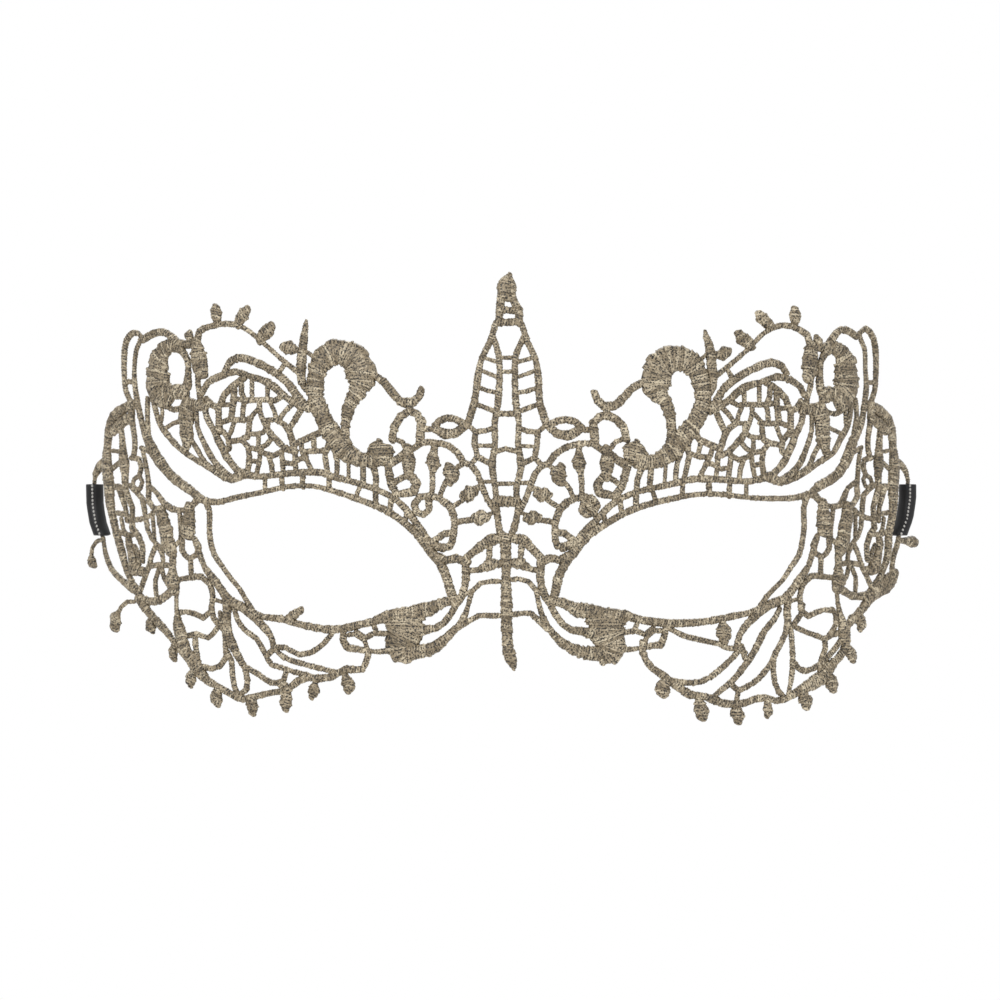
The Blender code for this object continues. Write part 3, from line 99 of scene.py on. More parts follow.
# On both sides, columns counted outwards.
SIDE_CORDS = (
    ("outer leg", (6, 6, 6, 7, 7, 8), ((10, 267), (16, 248), (24, 232), (28, 212), (31, 190), (38, 166))),
    ("inner leg", (6, 6, 6, 7, 6, 6, 7, 6, 6, 7, 6),
     ((12, 253), (7, 236), (6, 216), (8, 185), (11, 168), (10.5, 148), (13.5, 124), (10.5, 104),
      (8.5, 80), (6, 60), (1, 50))),
    ("leg rung 1", 4, ((22, 233), (9, 229))),
    ("leg rung 2", 4, ((26, 221), (7, 213))),
    ("leg rung 3", 4.5, ((29, 204), (18, 200), (8, 198))),
    ("leg rung 4", 5, ((31, 187), (20, 183), (10, 179))),
    ("lobe top", 5, ((38, 166), (30, 159), (20, 160), (11, 163))),
    ("lobe side", 6, ((30, 159), (31, 146), (28, 134), (21, 130), (13, 127))),
    ("lobe bar", 4, ((30, 145), (11, 145))),
    ("leaf upper", 7, ((40, 166), (50, 171.5), (58, 173), (66, 170), (71, 164))),
    ("leaf lower", (8, 9, 10, 8), ((40, 165), (50, 157.5), (60, 156.5), (71, 162))),
    ("leaf stalk", 6, ((70, 162), (76, 161.5), (83, 162))),
    ("fan arc", 6.5, ((42, 128), (48, 138), (57, 145), (70, 148), (84, 148), (91, 143), (98, 139))),
    ("fan spine", 6, ((43, 129), (34, 125), (28, 117), (24, 106), (18, 91), (9, 78))),
    ("fan tick", 5, ((30, 132), (35, 126))),
    ("fan tie", 4, ((25, 109), (13, 109))),
    ("seed 1", (10, 17, 15, 9), ((56, 124), (54.5, 118), (54.5, 113), (56, 109))),
    ("seed 1 top", 5, ((42, 127), (49, 123))),
    ("seed 1 stalk", 5, ((59, 110), (62.5, 103), (66, 94))),
    ("seed 2", (9, 16, 16, 9), ((31, 98), (35, 97), (39, 96.5), (42, 96))),
    ("seed 2 stalk", (6, 7), ((31, 102), (24, 104))),
    ("seed 2 foot", 5, ((42, 91), (48, 87), (55, 83))),
    ("seed 3", (9, 16, 16, 9), ((19, 73), (23, 73), (27, 73), (31, 73))),
    ("seed 3 stalk", 4, ((18, 76), (9, 79))),
    ("seed 3 foot", 6, ((32, 71), (42, 70), (51, 68))),
    ("seed 4", (8, 14, 13, 8), ((72, 138), (72.5, 131), (72.5, 126), (73, 121))),
    ("seed 4 top", 7, ((71, 147), (71.5, 137))),
    ("seed 4 stalk", 5.5, ((73.5, 121), (73, 108), (74, 95))),
    ("fan rim", (7, 7, 8, 7, 7, 7, 7.5),
     ((77, 95), (67, 93), (57, 85.5), (51.5, 73), (52, 57), (56, 44), (66, 43.5))),
    ("fan rim end", 8, ((62, 42), (69, 45), (77, 49))),
    ("fan bar", 7, ((52, 58), (61, 57), (67, 53), (75, 47))),
    ("fan curl", 7, ((77, 95), (86, 93.5), (91.5, 86), (89, 78.5), (82, 76), (76.5, 81), (77, 92))),
    ("bracket", (8, 12, 9, 8, 8), ((2, 52), (15, 50.5), (24, 45), (33, 38), (40, 32))),
    ("bracket link", 6, ((16, 46), (16.5, 28))),
    ("bracket foot", (6, 12, 6, 6), ((2, 27), (16, 26), (27, 21), (40, 20))),
    ("corner arch", (9, 8, 8, 9), ((68, 34), (59, 30.5), (49, 32.5), (39, 28))),
    ("corner inner", (8, 8, 7, 8, 8), ((40, 26), (39.5, 14), (41, 3), (44, -6), (51, -13))),
    ("corner outer", 9, ((73, 38), (64, 25), (58.5, 12), (55, 0), (52, -9))),
    ("nose upper", 5, ((2, 9), (14, 9.5), (25, 7.5), (34, -1), (42, -4))),
    ("nose post", 5, ((34, -1), (37, -13), (41, -26), (47, -37))),
    ("nose lower", 5.5, ((2, -25), (14, -25), (27, -25), (38, -31), (47, -37))),
    ("brow lower", (7, 6, 5.5, 5, 5, 5, 6, 6.5, 7, 7, 9, 9, 8),
     ((300, 90), (288, 88.5), (270, 93), (243, 98.5), (218, 104), (192, 104.5), (165, 97.5), (145, 90.5),
      (122, 81.5), (100, 67), (85, 53), (74, 38), (66, 28))),
    ("brow upper", (8, 8, 6, 6, 7, 7, 7, 6, 6, 6, 6, 7, 7, 8, 9),
     ((273, 112), (262, 116), (246, 114), (228, 116), (208, 118), (184, 118), (172, 114), (155, 109.5),
      (140, 105), (124, 99), (111, 92), (101, 83), (91, 70), (83, 58), (76, 47))),
    ("brow rung 1", 4.5, ((240.5, 113), (240.5, 99))),
    ("brow rung 2", 5.5, ((224, 114), (223, 102))),
    ("brow rung 3", 6, ((203, 115), (203, 104))),
    ("brow rung 4", 5.5, ((176.5, 115), (176.5, 101))),
    ("brow rung 5", 4.5, ((145, 106), (150, 93))),
    ("brow rung 6", 6, ((130, 102), (130, 86))),
    ("brow rung 7", 5.5, ((114, 93), (116, 80))),
    ("brow rung 8", 5, ((98, 79), (101, 68))),
    ("comma", (20, 19, 17, 17, 17, 18, 19, 23, 26, 25, 29, 30, 28, 19, 13, 13, 10, 9, 9),
     ((167, 149), (175, 159), (181, 170), (186, 181), (190, 192), (190.5, 206), (188, 221), (182, 232),
      (173, 238), (161, 238), (149.5, 231), (145, 220), (145.5, 209), (148.5, 199), (154, 190),
      (157.5, 181), (159.5, 171), (160.5, 158), (160, 142))),
    ("comma foot", (20, 21, 18, 15, 15, 16),
     ((166, 150), (163, 142), (156, 136), (147, 131.5), (138, 130), (128, 131))),
    ("comma ball", (7, 19, 24, 26, 24, 19, 7),
     ((126, 149), (126, 146.5), (125.5, 143), (125, 138.5), (124.5, 134), (124, 130.5), (124, 128))),
    ("comma post 1", 5.5, ((171, 140), (168.5, 130), (168.5, 120), (170, 113))),
    ("comma post 2", 4, ((157, 129), (157, 111))),
    ("comma post 3", 6, ((142.5, 127), (142.5, 105))),
    ("comma post 4", (7, 6, 6), ((132, 124), (129.5, 113), (130, 101))),
    ("hook", (8, 8, 8, 9, 9, 8, 7),
     ((132, 216), (122, 209), (114, 199), (103, 188), (93, 188), (86.5, 194), (84, 201))),
    ("arch left", 8, ((96, 180), (105, 174), (111, 164), (113.5, 151))),
    ("arch right", (7, 8, 9, 9, 8), ((96, 180), (89, 177), (84, 169), (85, 158), (86, 148))),
    ("arch top", 7, ((96, 188), (95, 178))),
    ("arch strut", 5, ((112, 152), (104, 149), (98, 140))),
    ("knot arm", (9, 8, 7), ((116, 127), (107, 132), (98, 140))),
    ("knot", (9, 12, 14, 12, 10), ((97, 143), (97, 135), (97, 128), (97, 121), (97, 115))),
    ("loop post", 8, ((118, 127), (116, 115), (114.5, 106), (109, 97))),
    ("loop base", (7, 8, 9, 9, 8), ((111, 96), (101, 97.5), (92, 99), (89, 107), (94, 115))),
    ("loop bar", 6, ((99, 115), (106, 111.5), (113, 107))),
    ("dome", (8, 7, 6, 6, 5, 5, 5, 6),
     ((308, 249), (306, 259), (296, 264), (277, 267), (262, 263), (243, 248.5), (224, 231.5),
      (207, 218))),
    ("dome tie", 5, ((220, 228), (226, 219))),
    ("feather", (3, 6, 8, 9, 10, 9, 8, 5),
     ((199, 270), (200, 263), (201.5, 252), (203, 240), (204, 228), (204.5, 216), (203.5, 208),
      (200, 200))),
    ("feather tie", 4, ((199, 239), (192, 234))),
    ("crescent 1", (6, 7, 8, 8, 8, 8, 9, 9),
     ((281, 219), (276, 228), (266, 233), (250, 228.5), (232, 219), (217, 207), (206, 191), (197, 182))),
    ("crescent 2", (6, 6, 7, 7, 6, 8, 7, 9),
     ((303, 198), (297, 208.5), (286, 214), (270, 219), (254, 214), (237, 208), (219, 193), (203, 184))),
    ("net gate", 7, ((299, 192), (294, 186), (287, 183), (281, 196), (273, 204), (261, 213))),
    ("net post 1", 7, ((271, 201), (272, 189), (274, 173))),
    ("net post 2", 6, ((264, 209), (264, 198), (260, 189))),
    ("net post 3", 5, ((253.5, 212), (253.5, 192))),
    ("net post 4", 5, ((238, 208), (238, 191))),
    ("net rail 1", 5.5, ((272, 192), (258, 190.5), (238, 191), (231, 190), (222, 195))),
    ("net post 5", (7, 7, 8), ((287, 183), (286.5, 172), (286, 160))),
    ("net tie 1", 5, ((285, 186), (277, 186), (272, 184))),
    ("net rail 2", 5.5, ((285, 168), (276, 171), (262, 170.5), (254, 172))),
    ("net post 6", 5.5, ((261, 190), (262.5, 181), (263, 171))),
    ("net tie 2", 4.5, ((257, 171), (248, 181))),
    ("net post 7", 5.5, ((246, 190), (246, 181), (242, 169), (238, 162))),
    ("net post 8", 5, ((235.5, 189), (231, 179), (229, 171))),
    ("net rail 3", 5, ((241, 171), (226, 172), (219, 181), (212, 187))),
    ("net tie 3", 5, ((271, 170), (274, 160), (277, 154))),
    ("net post 9", 6, ((256, 172), (256.5, 161), (258, 154), (264, 151), (277, 149))),
    ("net rail 4", 5, ((257, 157), (249, 156.5), (243, 158), (238, 162), (237, 170))),
    ("net post 10", 5, ((247, 157), (247, 143))),
    ("net ring 1", 6, ((263, 150), (257.5, 144), (256, 134), (258, 118))),
    ("net rail 5", 5.5, ((257, 143), (248, 141.5), (240, 137), (232, 135), (226, 138), (219, 143))),
    ("net post 11", 5, ((245, 141), (246, 130), (249, 117))),
    ("net tie 4", 5, ((256, 130), (247, 129))),
    ("net post 12", 5.5, ((237, 135), (234, 126), (233, 115))),
    ("net post 13", 5.5, ((224, 139), (223, 127), (222, 116))),
    ("net diagonal", 6.5, ((239, 162), (230, 152), (220, 142), (210, 139))),
    ("net diamond", 5, ((238, 160), (234, 152), (239, 146), (246, 142))),
    ("net vee", (6, 6, 7, 7, 6, 5.5, 5),
     ((229, 171), (221, 166), (216, 159), (213, 148), (210.5, 138), (210.5, 128), (209.5, 119))),
    ("net vee arm", 6.5, ((204, 182), (211, 170), (217, 161))),
    ("net scallop", 7, ((212, 146), (200, 151.5), (190, 156), (180, 161))),
    ("net tie 5", 5, ((222, 128), (214, 127), (205, 132), (199, 133))),
    ("net tie 6", 5.5, ((205, 150), (203.5, 140), (200, 133))),
    ("net rail 6", 5.5, ((203, 139), (193, 139.5), (180, 140.5), (174, 145))),
    ("net post 14", 5.5, ((202, 136), (197, 127), (193, 118))),
    ("net post 15", 5.5, ((192, 154), (191.5, 140))),
    ("net post 16", 5.5, ((181, 141), (180, 130), (178, 118))),
    ("net post 17", 5.5, ((177, 156), (177, 148), (179, 140))),
    ("drop 1", 7, ((302, 189), (298, 172), (290, 158))),
    ("drop 2", (7, 8, 8, 8, 7, 8, 8),
     ((291, 160), (287, 150), (283, 143), (279, 134), (273, 126), (267, 119), (258, 117))),
    ("drop tie", 6, ((283, 160), (277, 152), (276, 143), (281, 140))),
    ("scroll back", (10, 14, 20, 23, 24, 22, 18),
     ((334, 245), (342, 239.5), (346, 230), (347.5, 217), (347.5, 204), (342, 196), (336, 192))),
    ("scroll foot", (18, 14, 14, 11), ((341, 198), (333, 199), (326, 199), (321, 196))),
    ("scroll front", (10, 8, 7, 7, 9, 10),
     ((333, 244), (323, 240), (318, 231), (317, 218), (317.5, 206), (322, 198))),
    ("scroll top", (7, 7, 7, 8, 9, 8, 8),
     ((362, 251), (352, 257), (341, 258.5), (333, 253), (327, 247), (318, 246), (310, 249))),
    ("scroll knot", (6, 10, 6), ((315, 248), (316, 254), (315, 258))),
    ("satin bar", (7, 11, 15, 16, 15, 11),
     ((309, 251), (308, 245), (307, 237), (306, 229), (305, 222), (303, 217))),
    ("satin bar stem", (7, 6, 6, 8), ((307, 219), (307.5, 208), (306, 196), (303, 186))),
    ("band", (9, 12, 16, 15, 13, 13, 9, 8),
     ((300, 184), (308, 185), (317, 184), (319, 175), (319, 165), (318.5, 155), (318.5, 147),
      (320, 141))),
    ("band curl", 5.5, ((346, 190), (339, 184), (332, 181), (325, 182), (319, 187))),
    ("band loop", 4.5, ((339, 163), (332, 167.5), (323, 170))),
    ("line 1", (6, 6, 6.5, 7, 6, 6, 6, 6, 8, 7),
     ((352, 190), (349, 178), (345, 166), (338, 156), (326, 142.5), (313, 133), (301, 126), (288, 117.5),
      (275, 111.5), (262, 115))),
    ("line 1 twin", 4, ((344, 189), (343, 178), (344, 170))),
    ("line 2", 5.5, ((315, 152), (308, 141), (301, 129), (292, 122))),
    ("line 3", (5, 5, 6, 7, 7, 8),
     ((309, 182), (308, 164), (301, 147), (293, 132), (285, 122), (274, 112))),
    ("outer loop", (6, 6, 6, 7, 7, 6, 5, 5, 5, 6, 7),
     ((373, 186), (379.5, 200), (381, 214), (381, 234), (379, 249), (372, 258), (364, 254), (369, 241),
      (371, 222), (370.5, 206), (367, 184))),
    ("outer crescent", (7, 7, 9, 10, 9.5, 9, 9, 8.5, 8, 7),
     ((367, 184), (363, 167), (357, 151), (351, 138), (343, 126), (334, 115), (323, 106), (313, 99),
      (305, 92), (297, 88))),
    ("scroll tail", 5.5, ((357.5, 192), (358, 176), (357, 158))),
    ("loop tie", 5, ((378, 209), (372, 209))),
    ("side edge", (9, 9, 9, 8.5, 8, 10, 10, 9, 8, 8, 8, 7, 7, 8, 9, 8, 8, 7),
     ((372, 186), (384, 180), (392, 172), (396, 158), (397.5, 143), (398, 125), (396, 106), (395, 90),
      (392, 73), (388, 56), (383, 38), (379, 22), (373, 8), (367, -2), (364, -10), (357, -21),
      (347, -32), (338, -42))),
    ("side edge fill", (8, 9, 8), ((374, 174), (383, 168), (391, 160))),
    ("side line 1", (7, 7, 8, 10, 8, 7, 7, 6, 6, 7, 7, 6, 6),
     ((385, 166), (383, 152), (382, 140), (381, 128), (380, 116), (380, 103), (377, 93), (373, 83),
      (373, 72), (373, 62), (367, 55), (363, 45), (363, 30))),
    ("side line 2", (8, 7, 6, 6, 6), ((374, 182), (373, 168), (371, 155), (370.5, 142), (372, 133))),
    ("side line 3", (5, 5, 5.5, 6, 6, 6, 7, 8),
     ((363, 142), (360, 128), (357.5, 114), (356.5, 100), (357, 90), (352, 83), (345, 79), (341, 76))),
    ("side line 4", 5.5, ((374, 133), (366, 131), (364, 123), (366, 115))),
    ("side ring", 4.5,
     ((366, 115), (371, 112), (373, 106), (369, 101), (365, 102), (363, 109), (366, 115))),
    ("side line 5", (5, 5.5, 6, 6, 5, 5.5),
     ((377, 106), (369, 99), (363, 92), (361, 82), (360, 73), (358, 66))),
    ("side line 6", (8, 7, 5.5, 6), ((385, 102), (383, 93), (380, 83), (378, 70))),
    ("side tie 1", 5, ((364, 143), (356, 139))),
    ("side tie 2", 6, ((395, 103), (386, 104), (380, 101))),
    ("side tie 3", 5, ((393, 122), (386, 128))),
    ("side tie 4", 4, ((393, 140), (385, 139))),
    ("side tie 5", 5, ((389, 78), (380, 76), (370, 71), (360, 73), (352, 77))),
    ("side tie 6", 4.5, ((384, 72), (382, 61), (376, 54))),
    ("side tie 7", 5, ((389, 61), (380, 56), (372, 56))),
    ("side line 7", 5, ((360, 73), (358, 62), (354, 53), (347, 45), (340, 40))),
    ("side line 8", 4.5, ((353, 78), (352, 66), (351, 52))),
    ("brow corner", (5, 5, 7, 7, 5, 6, 8, 7),
     ((355, 104), (348, 97), (341, 87), (334, 82), (323, 80.5), (314, 84), (309, 90), (304, 92))),
    ("lash root", (10, 11, 12, 12, 13, 8, 7, 9, 15, 10),
     ((344, 80), (342, 70), (339, 60), (338, 50), (335, 43), (332.5, 34), (332.5, 25), (332.5, 17),
      (332.5, 8), (331, 0))),
    ("lash side", (9, 12, 14, 14, 14), ((316, 84), (316, 74), (317, 65), (317.5, 60), (318, 57))),
    ("lash side twin", 5, ((326, 80), (325, 66), (325, 50), (332, 44))),
    ("eye ring", (6, 6, 5.5, 5.5, 6, 5),
     ((323, 50), (323.5, 41), (316, 32), (309, 36), (306.5, 44), (311, 53))),
    ("side fan 1", (6, 8, 8, 9, 11, 9, 5),
     ((377, 56), (376, 47), (374, 40), (372, 30), (371, 23), (364, 19), (358, 20))),
    ("side fan 2", 5, ((371, 45), (367, 37), (366, 27))),
    ("side fan 3", 5.5, ((349, 46), (354, 34), (357, 22), (361, 12), (365, 0))),
    ("side fan 4", 5, ((349, 46), (343, 36), (342, 27), (347, 20), (350, 10), (349, -5))),
    ("side fan bar", 5.5, ((357, 24), (346, 26), (334, 25))),
    ("side fan 5", 5, ((344, 24), (341, 12), (334, 2))),
    ("side fan base", 8, ((367, -7), (356, -10.5), (346, -9.5), (338, -4), (331, 2))),
    ("eye cord 1", (7, 6, 6, 6, 6, 5.5, 5, 5, 5.5, 6),
     ((300, 90), (296, 80), (296, 64), (295, 50), (291, 36), (283, 24), (274, 11.5), (266, 2),
      (259, -10), (254, -18))),
    ("eye cord 2", (6, 6, 6, 8, 8, 9, 9, 8, 8, 6, 6, 6),
     ((311, 52), (307, 40), (301, 24), (292, 12), (284, 1), (276, -10), (264, -16), (252, -26),
      (241, -37), (234, -47), (231, -58), (239, -65))),
    ("eye cord 3", (5, 6, 6.5, 6, 6, 6),
     ((328, 11), (316, 13), (304, 14), (296, 7), (292.5, -6), (294, -18))),
    ("eye post", 5.5, ((315, 33), (314, 14))),
    ("lower rim", (8, 6, 7, 7, 7, 8, 8, 8, 8, 10),
     ((256, -20), (243, -26), (225, -28), (210, -32.5), (195, -36), (180, -38.5), (163, -38),
      (148, -34.5), (132, -30.5), (118, -25))),
    ("cheek tie", 4, ((291, -9), (281, -12))),
    ("cheek petal 7", (5, 6, 5.5, 5, 6), ((294, -20), (302, -27), (311, -23), (319, -21), (326, -22))),
    ("cheek ring", (6, 7, 8, 7, 5, 5, 6),
     ((162, -42), (162.5, -50), (158, -57), (148, -58.5), (136, -60.5), (127, -61), (117, -60))),
    ("cheek ring 2", 5, ((157, -44), (150, -43.5), (141, -50), (138, -59))),
    ("cheek ring 3", 5.5, ((149, -41), (140, -47), (131, -42.5), (119, -43))),
    ("cheek ring tie", 5, ((132, -34), (129, -42))),
    ("nose leaf", (40, 39, 38, 36, 30, 29, 23, 10),
     ((101, -24), (101, -31), (101, -40), (103, -46), (105.5, -51), (106, -57), (104, -64), (99, -69))),
    ("nose leaf rim", (9, 9, 11, 15, 15, 13, 13, 9),
     ((50, -10), (60, -11), (68, -14.5), (76, -18.5), (86, -20), (96, -22), (108, -24.5), (122, -28))),
    ("nose leaf cord", (12, 9, 7, 6, 6.5, 6, 7),
     ((88, -42), (79, -39), (70, -37.5), (62, -32.5), (55, -24), (50, -15), (46, -9))),
    ("nose leaf tail", (15, 14, 13, 11, 9.5, 7, 6, 6),
     ((94, -62), (84, -60.5), (76, -59), (69, -55.5), (61, -49), (52, -40), (46, -34), (41, -25))),
    ("dome picot", (7, 10, 11.5, 8), ((289, 268), (289, 272), (289, 279), (289, 283))),
    ("dome picot", (8, 10, 12, 8), ((268, 266), (265, 272), (261, 277), (258, 281))),
    ("dome picot", (8, 12, 13, 9), ((246, 250), (242, 256), (237, 260), (234, 264))),
    ("dome picot", (4, 10, 15, 10), ((206, 240), (212, 241), (217, 243), (221, 244))),
)

# On the viewer's left only.
LEFT_CORDS = (
    ("ear cord", (4.5, 5.5, 6, 6.5, 8), ((402, 52), (400, 38), (394, 22), (385, 12), (371, 1))),
    ("ear cord top", (6, 8, 7, 4.5), ((400, 131), (406, 123), (410, 116), (410.5, 113))),
    ("rim picot", (10, 9, 8, 8), ((216, -28), (211, -24), (207, -21), (205, -20))),
    ("cheek spine", (7, 9, 9, 10, 9, 7, 6.5, 6, 6, 5, 6),
     ((280, -6), (278, -17), (279, -30), (278, -42), (273, -54), (266, -68), (260, -78), (258, -90),
      (259, -99), (265, -103), (272, -103))),
    ("cheek spine twin", 5, ((285, -22), (285, -28), (282, -38))),
    ("cheek petal 1", 6,
     ((294, -17), (292, -27), (287, -34), (281, -40), (280, -54), (279, -66), (285, -75), (293, -78),
      (303, -76))),
    ("cheek petal 2", 6, ((279, -60), (274, -70), (273, -84), (271, -96), (268, -103))),
    ("cheek petal 3", 5.5,
     ((271, -19), (268, -29), (260, -40), (249, -48), (241, -62), (234, -74), (224, -77), (212, -81),
      (199, -84))),
    ("cheek petal 4", 6, ((261, -76), (248, -83), (234, -92), (222, -90), (219, -80))),
    ("cheek petal 5", 5.5, ((231, -56), (220, -57), (206, -64), (195, -62), (182, -53), (173, -42))),
    ("cheek petal 6", 5.5, ((231, -58), (221, -67), (203, -73), (184, -78), (168, -82))),
    ("cheek petal 8", 5.5, ((288, -37), (297, -47), (309, -43), (317, -45), (324, -45))),
    ("cheek petal 9", (4.5, 4.5, 6, 10, 11, 10, 9),
     ((329, 2), (329, -16), (328, -24), (327, -33), (325, -42), (322, -52), (318, -61))),
    ("cheek petal 10", 6, ((310, -45), (310, -54), (308, -66))),
    ("cheek foot", 9, ((225, -92), (218, -99))),
    ("cheek rim", (7, 6, 6, 8, 12, 13, 11, 8, 7, 7, 7, 6.5, 6, 6, 8, 8, 8, 8, 8, 8, 7, 6, 7),
     ((338, -42), (333, -49), (329, -54), (323, -60), (314, -67), (309, -75), (305, -82), (298, -90),
      (287, -96), (275, -103), (262, -108.5), (249, -105.5), (234, -102), (219, -99), (207, -90),
      (198, -86.5), (187, -88), (176, -86.5), (167, -82), (158, -78.5), (150, -79), (143, -78.5),
      (137, -63))),
    ("ear bar", 4.5, ((410.5, 113), (411, 107), (410.5, 86), (407.5, 68), (402, 52))),
    ("cheek picot", (4, 4, 4, 5, 11, 10),
     ((371, -11), (378, -11), (384, -16), (387, -22), (389, -28), (390, -35))),
    ("cheek picot", (8, 10, 10, 6), ((353, -28), (354, -33), (354, -38), (353, -41))),
    ("cheek picot", (7, 9, 8, 6), ((331, -55), (332, -60), (332, -66), (331, -69))),
    ("cheek picot", (8, 11, 10, 6), ((312, -81), (314, -87), (315, -92), (315, -95))),
    ("cheek picot", (8, 12, 11, 7), ((287, -99), (289, -106), (288.5, -111), (288, -114))),
    ("cheek picot", (8, 12, 11, 8), ((252, -109), (253, -114), (253, -119), (253, -122))),
    ("cheek picot", (10, 12, 12, 8), ((219, -103), (219, -109), (220, -114), (220, -118))),
    ("cheek picot", (6, 11, 11, 7), ((190, -92), (191, -98), (193, -103), (194, -106))),
    ("cheek picot", (7, 13, 13, 9), ((160, -85), (158, -91), (157, -96), (158, -99))),
    ("ear picot", (4, 4, 4, 5, 9, 7), ((403, 51), (409, 49), (413, 43), (414, 35), (413, 29), (411, 25))),
)

# On the viewer's right only.
RIGHT_CORDS = (
    ("cheek spine", (7, 8, 8, 6, 6, 6.5, 6, 6, 6, 6, 6, 6),
     ((283, -8), (281, -20), (282, -31), (280, -42), (275, -53), (270, -62), (266, -72), (260, -80),
      (253, -88), (243, -95), (233, -100), (224.5, -91.5))),
    ("cheek spine twin", (5, 6, 6, 6, 5, 4),
     ((285, -36), (286, -50), (287, -68), (286.5, -80), (285, -92), (282, -105))),
    ("cheek petal 1", 6, ((297, -14), (295, -24), (290, -31), (285, -38))),
    ("cheek petal 2", 6, ((268, -68), (267.5, -80), (269, -92), (273, -101), (279, -107))),
    ("cheek petal 3", (5.5, 6, 7, 7, 7, 7, 6, 6),
     ((274, -18), (269, -28), (259, -40), (252, -54), (246, -65), (236, -79), (226, -91), (216, -99))),
    ("cheek petal 4", 5.5, ((216, -99), (208, -106))),
    ("cheek petal 5", 5.5,
     ((236, -56), (229, -58), (221, -57), (213, -53), (203, -51), (190, -48), (178, -45), (168, -40),
      (159, -35))),
    ("cheek petal 6", 6,
     ((236, -56), (228, -66), (220, -74), (212, -81), (204, -87), (195, -91), (180, -92), (167, -90))),
    ("cheek petal 8", 6,
     ((287, -70), (293, -78), (300, -80.5), (308, -77.5), (316, -72), (323, -65), (330, -57),
      (336, -48))),
    ("cheek petal 11", 5.5, ((291, -37), (302, -42), (311, -45), (318, -48), (327, -44), (336, -41))),
    ("cheek petal 12", 5.5, ((326, -18), (330, -24), (330, -34), (323, -45))),
    ("fan curl fill", (6, 9, 6), ((80, 91), (84, 84.5), (87, 79))),
    ("cheek petal 9", (4.5, 4.5, 6, 9, 11, 9),
     ((331, 2), (332, -12), (334, -22), (337, -34), (338, -44), (339, -54))),
    ("cheek petal 10", 6, ((319, -48), (319.5, -58), (316, -68), (313, -78))),
    ("cheek link", 6, ((236, -56), (239, -66), (241, -70))),
    ("cheek drop", 5.5, ((233, -99), (231.5, -106), (231, -113))),
    ("cheek rim", (7, 7, 8, 8, 8, 12, 12, 11, 9, 7, 6, 6.5, 7, 7, 7, 8, 8, 9, 7, 8, 9, 8, 8, 7, 7, 7, 7),
     ((345, -28), (341, -37), (341, -50), (337, -61), (330, -70), (322, -78), (315, -87), (304, -94),
      (295, -99), (287, -104), (279, -109), (270, -110), (260, -107), (250, -108), (240, -112),
      (228, -113.5), (215, -112), (206, -108), (196, -105), (184, -104), (175, -98), (166, -91),
      (155, -83), (146, -77), (140, -69), (137, -61), (137, -52))),
    ("rim picot", (6, 7, 15, 17, 16, 10),
     ((216, -27), (217, -32), (218, -38), (218, -43), (218, -46), (218, -49))),
    ("cheek picot", (8, 10, 10, 7), ((352, -24), (354, -29), (355, -34), (354, -38))),
    ("cheek picot", (6, 9, 10, 7), ((342, -55), (344, -60), (346, -66), (347, -70))),
    ("cheek picot", (8, 11, 12, 8), ((323, -83), (325, -89), (326, -95), (327, -99))),
    ("cheek picot", (7, 11, 13, 9), ((297, -99), (298, -106), (300, -111), (300, -115))),
    ("cheek picot", (6, 9, 10, 6), ((262, -109), (262, -116), (262, -121), (261, -125))),
    ("cheek picot", (8, 13, 14, 10), ((231, -114), (231, -121), (232, -126), (232, -129))),
    ("cheek picot", (7, 14, 15, 11), ((193, -107), (195, -117), (196, -121), (196, -125))),
    ("cheek picot", (8, 15, 17, 12), ((161, -88), (158, -95), (157, -99), (157, -102))),
    ("ear cord top", (7, 7, 6, 4.5), ((388, 132), (394, 127), (400, 119), (402, 111))),
    ("ear bar", 4.5, ((402, 111), (402, 92), (399, 72), (393, 56))),
    ("ear cord", (5, 6, 6, 6, 8), ((393, 56), (392, 48), (388, 36), (386, 20), (387, 11))),
    ("ear blob", (5, 6, 10, 8), ((392, 50), (399, 50), (406, 49), (409, 48))),
    ("ear corner", (8, 12, 12, 10), ((389, 17), (384, 10), (372, 1), (361, -7))),
)

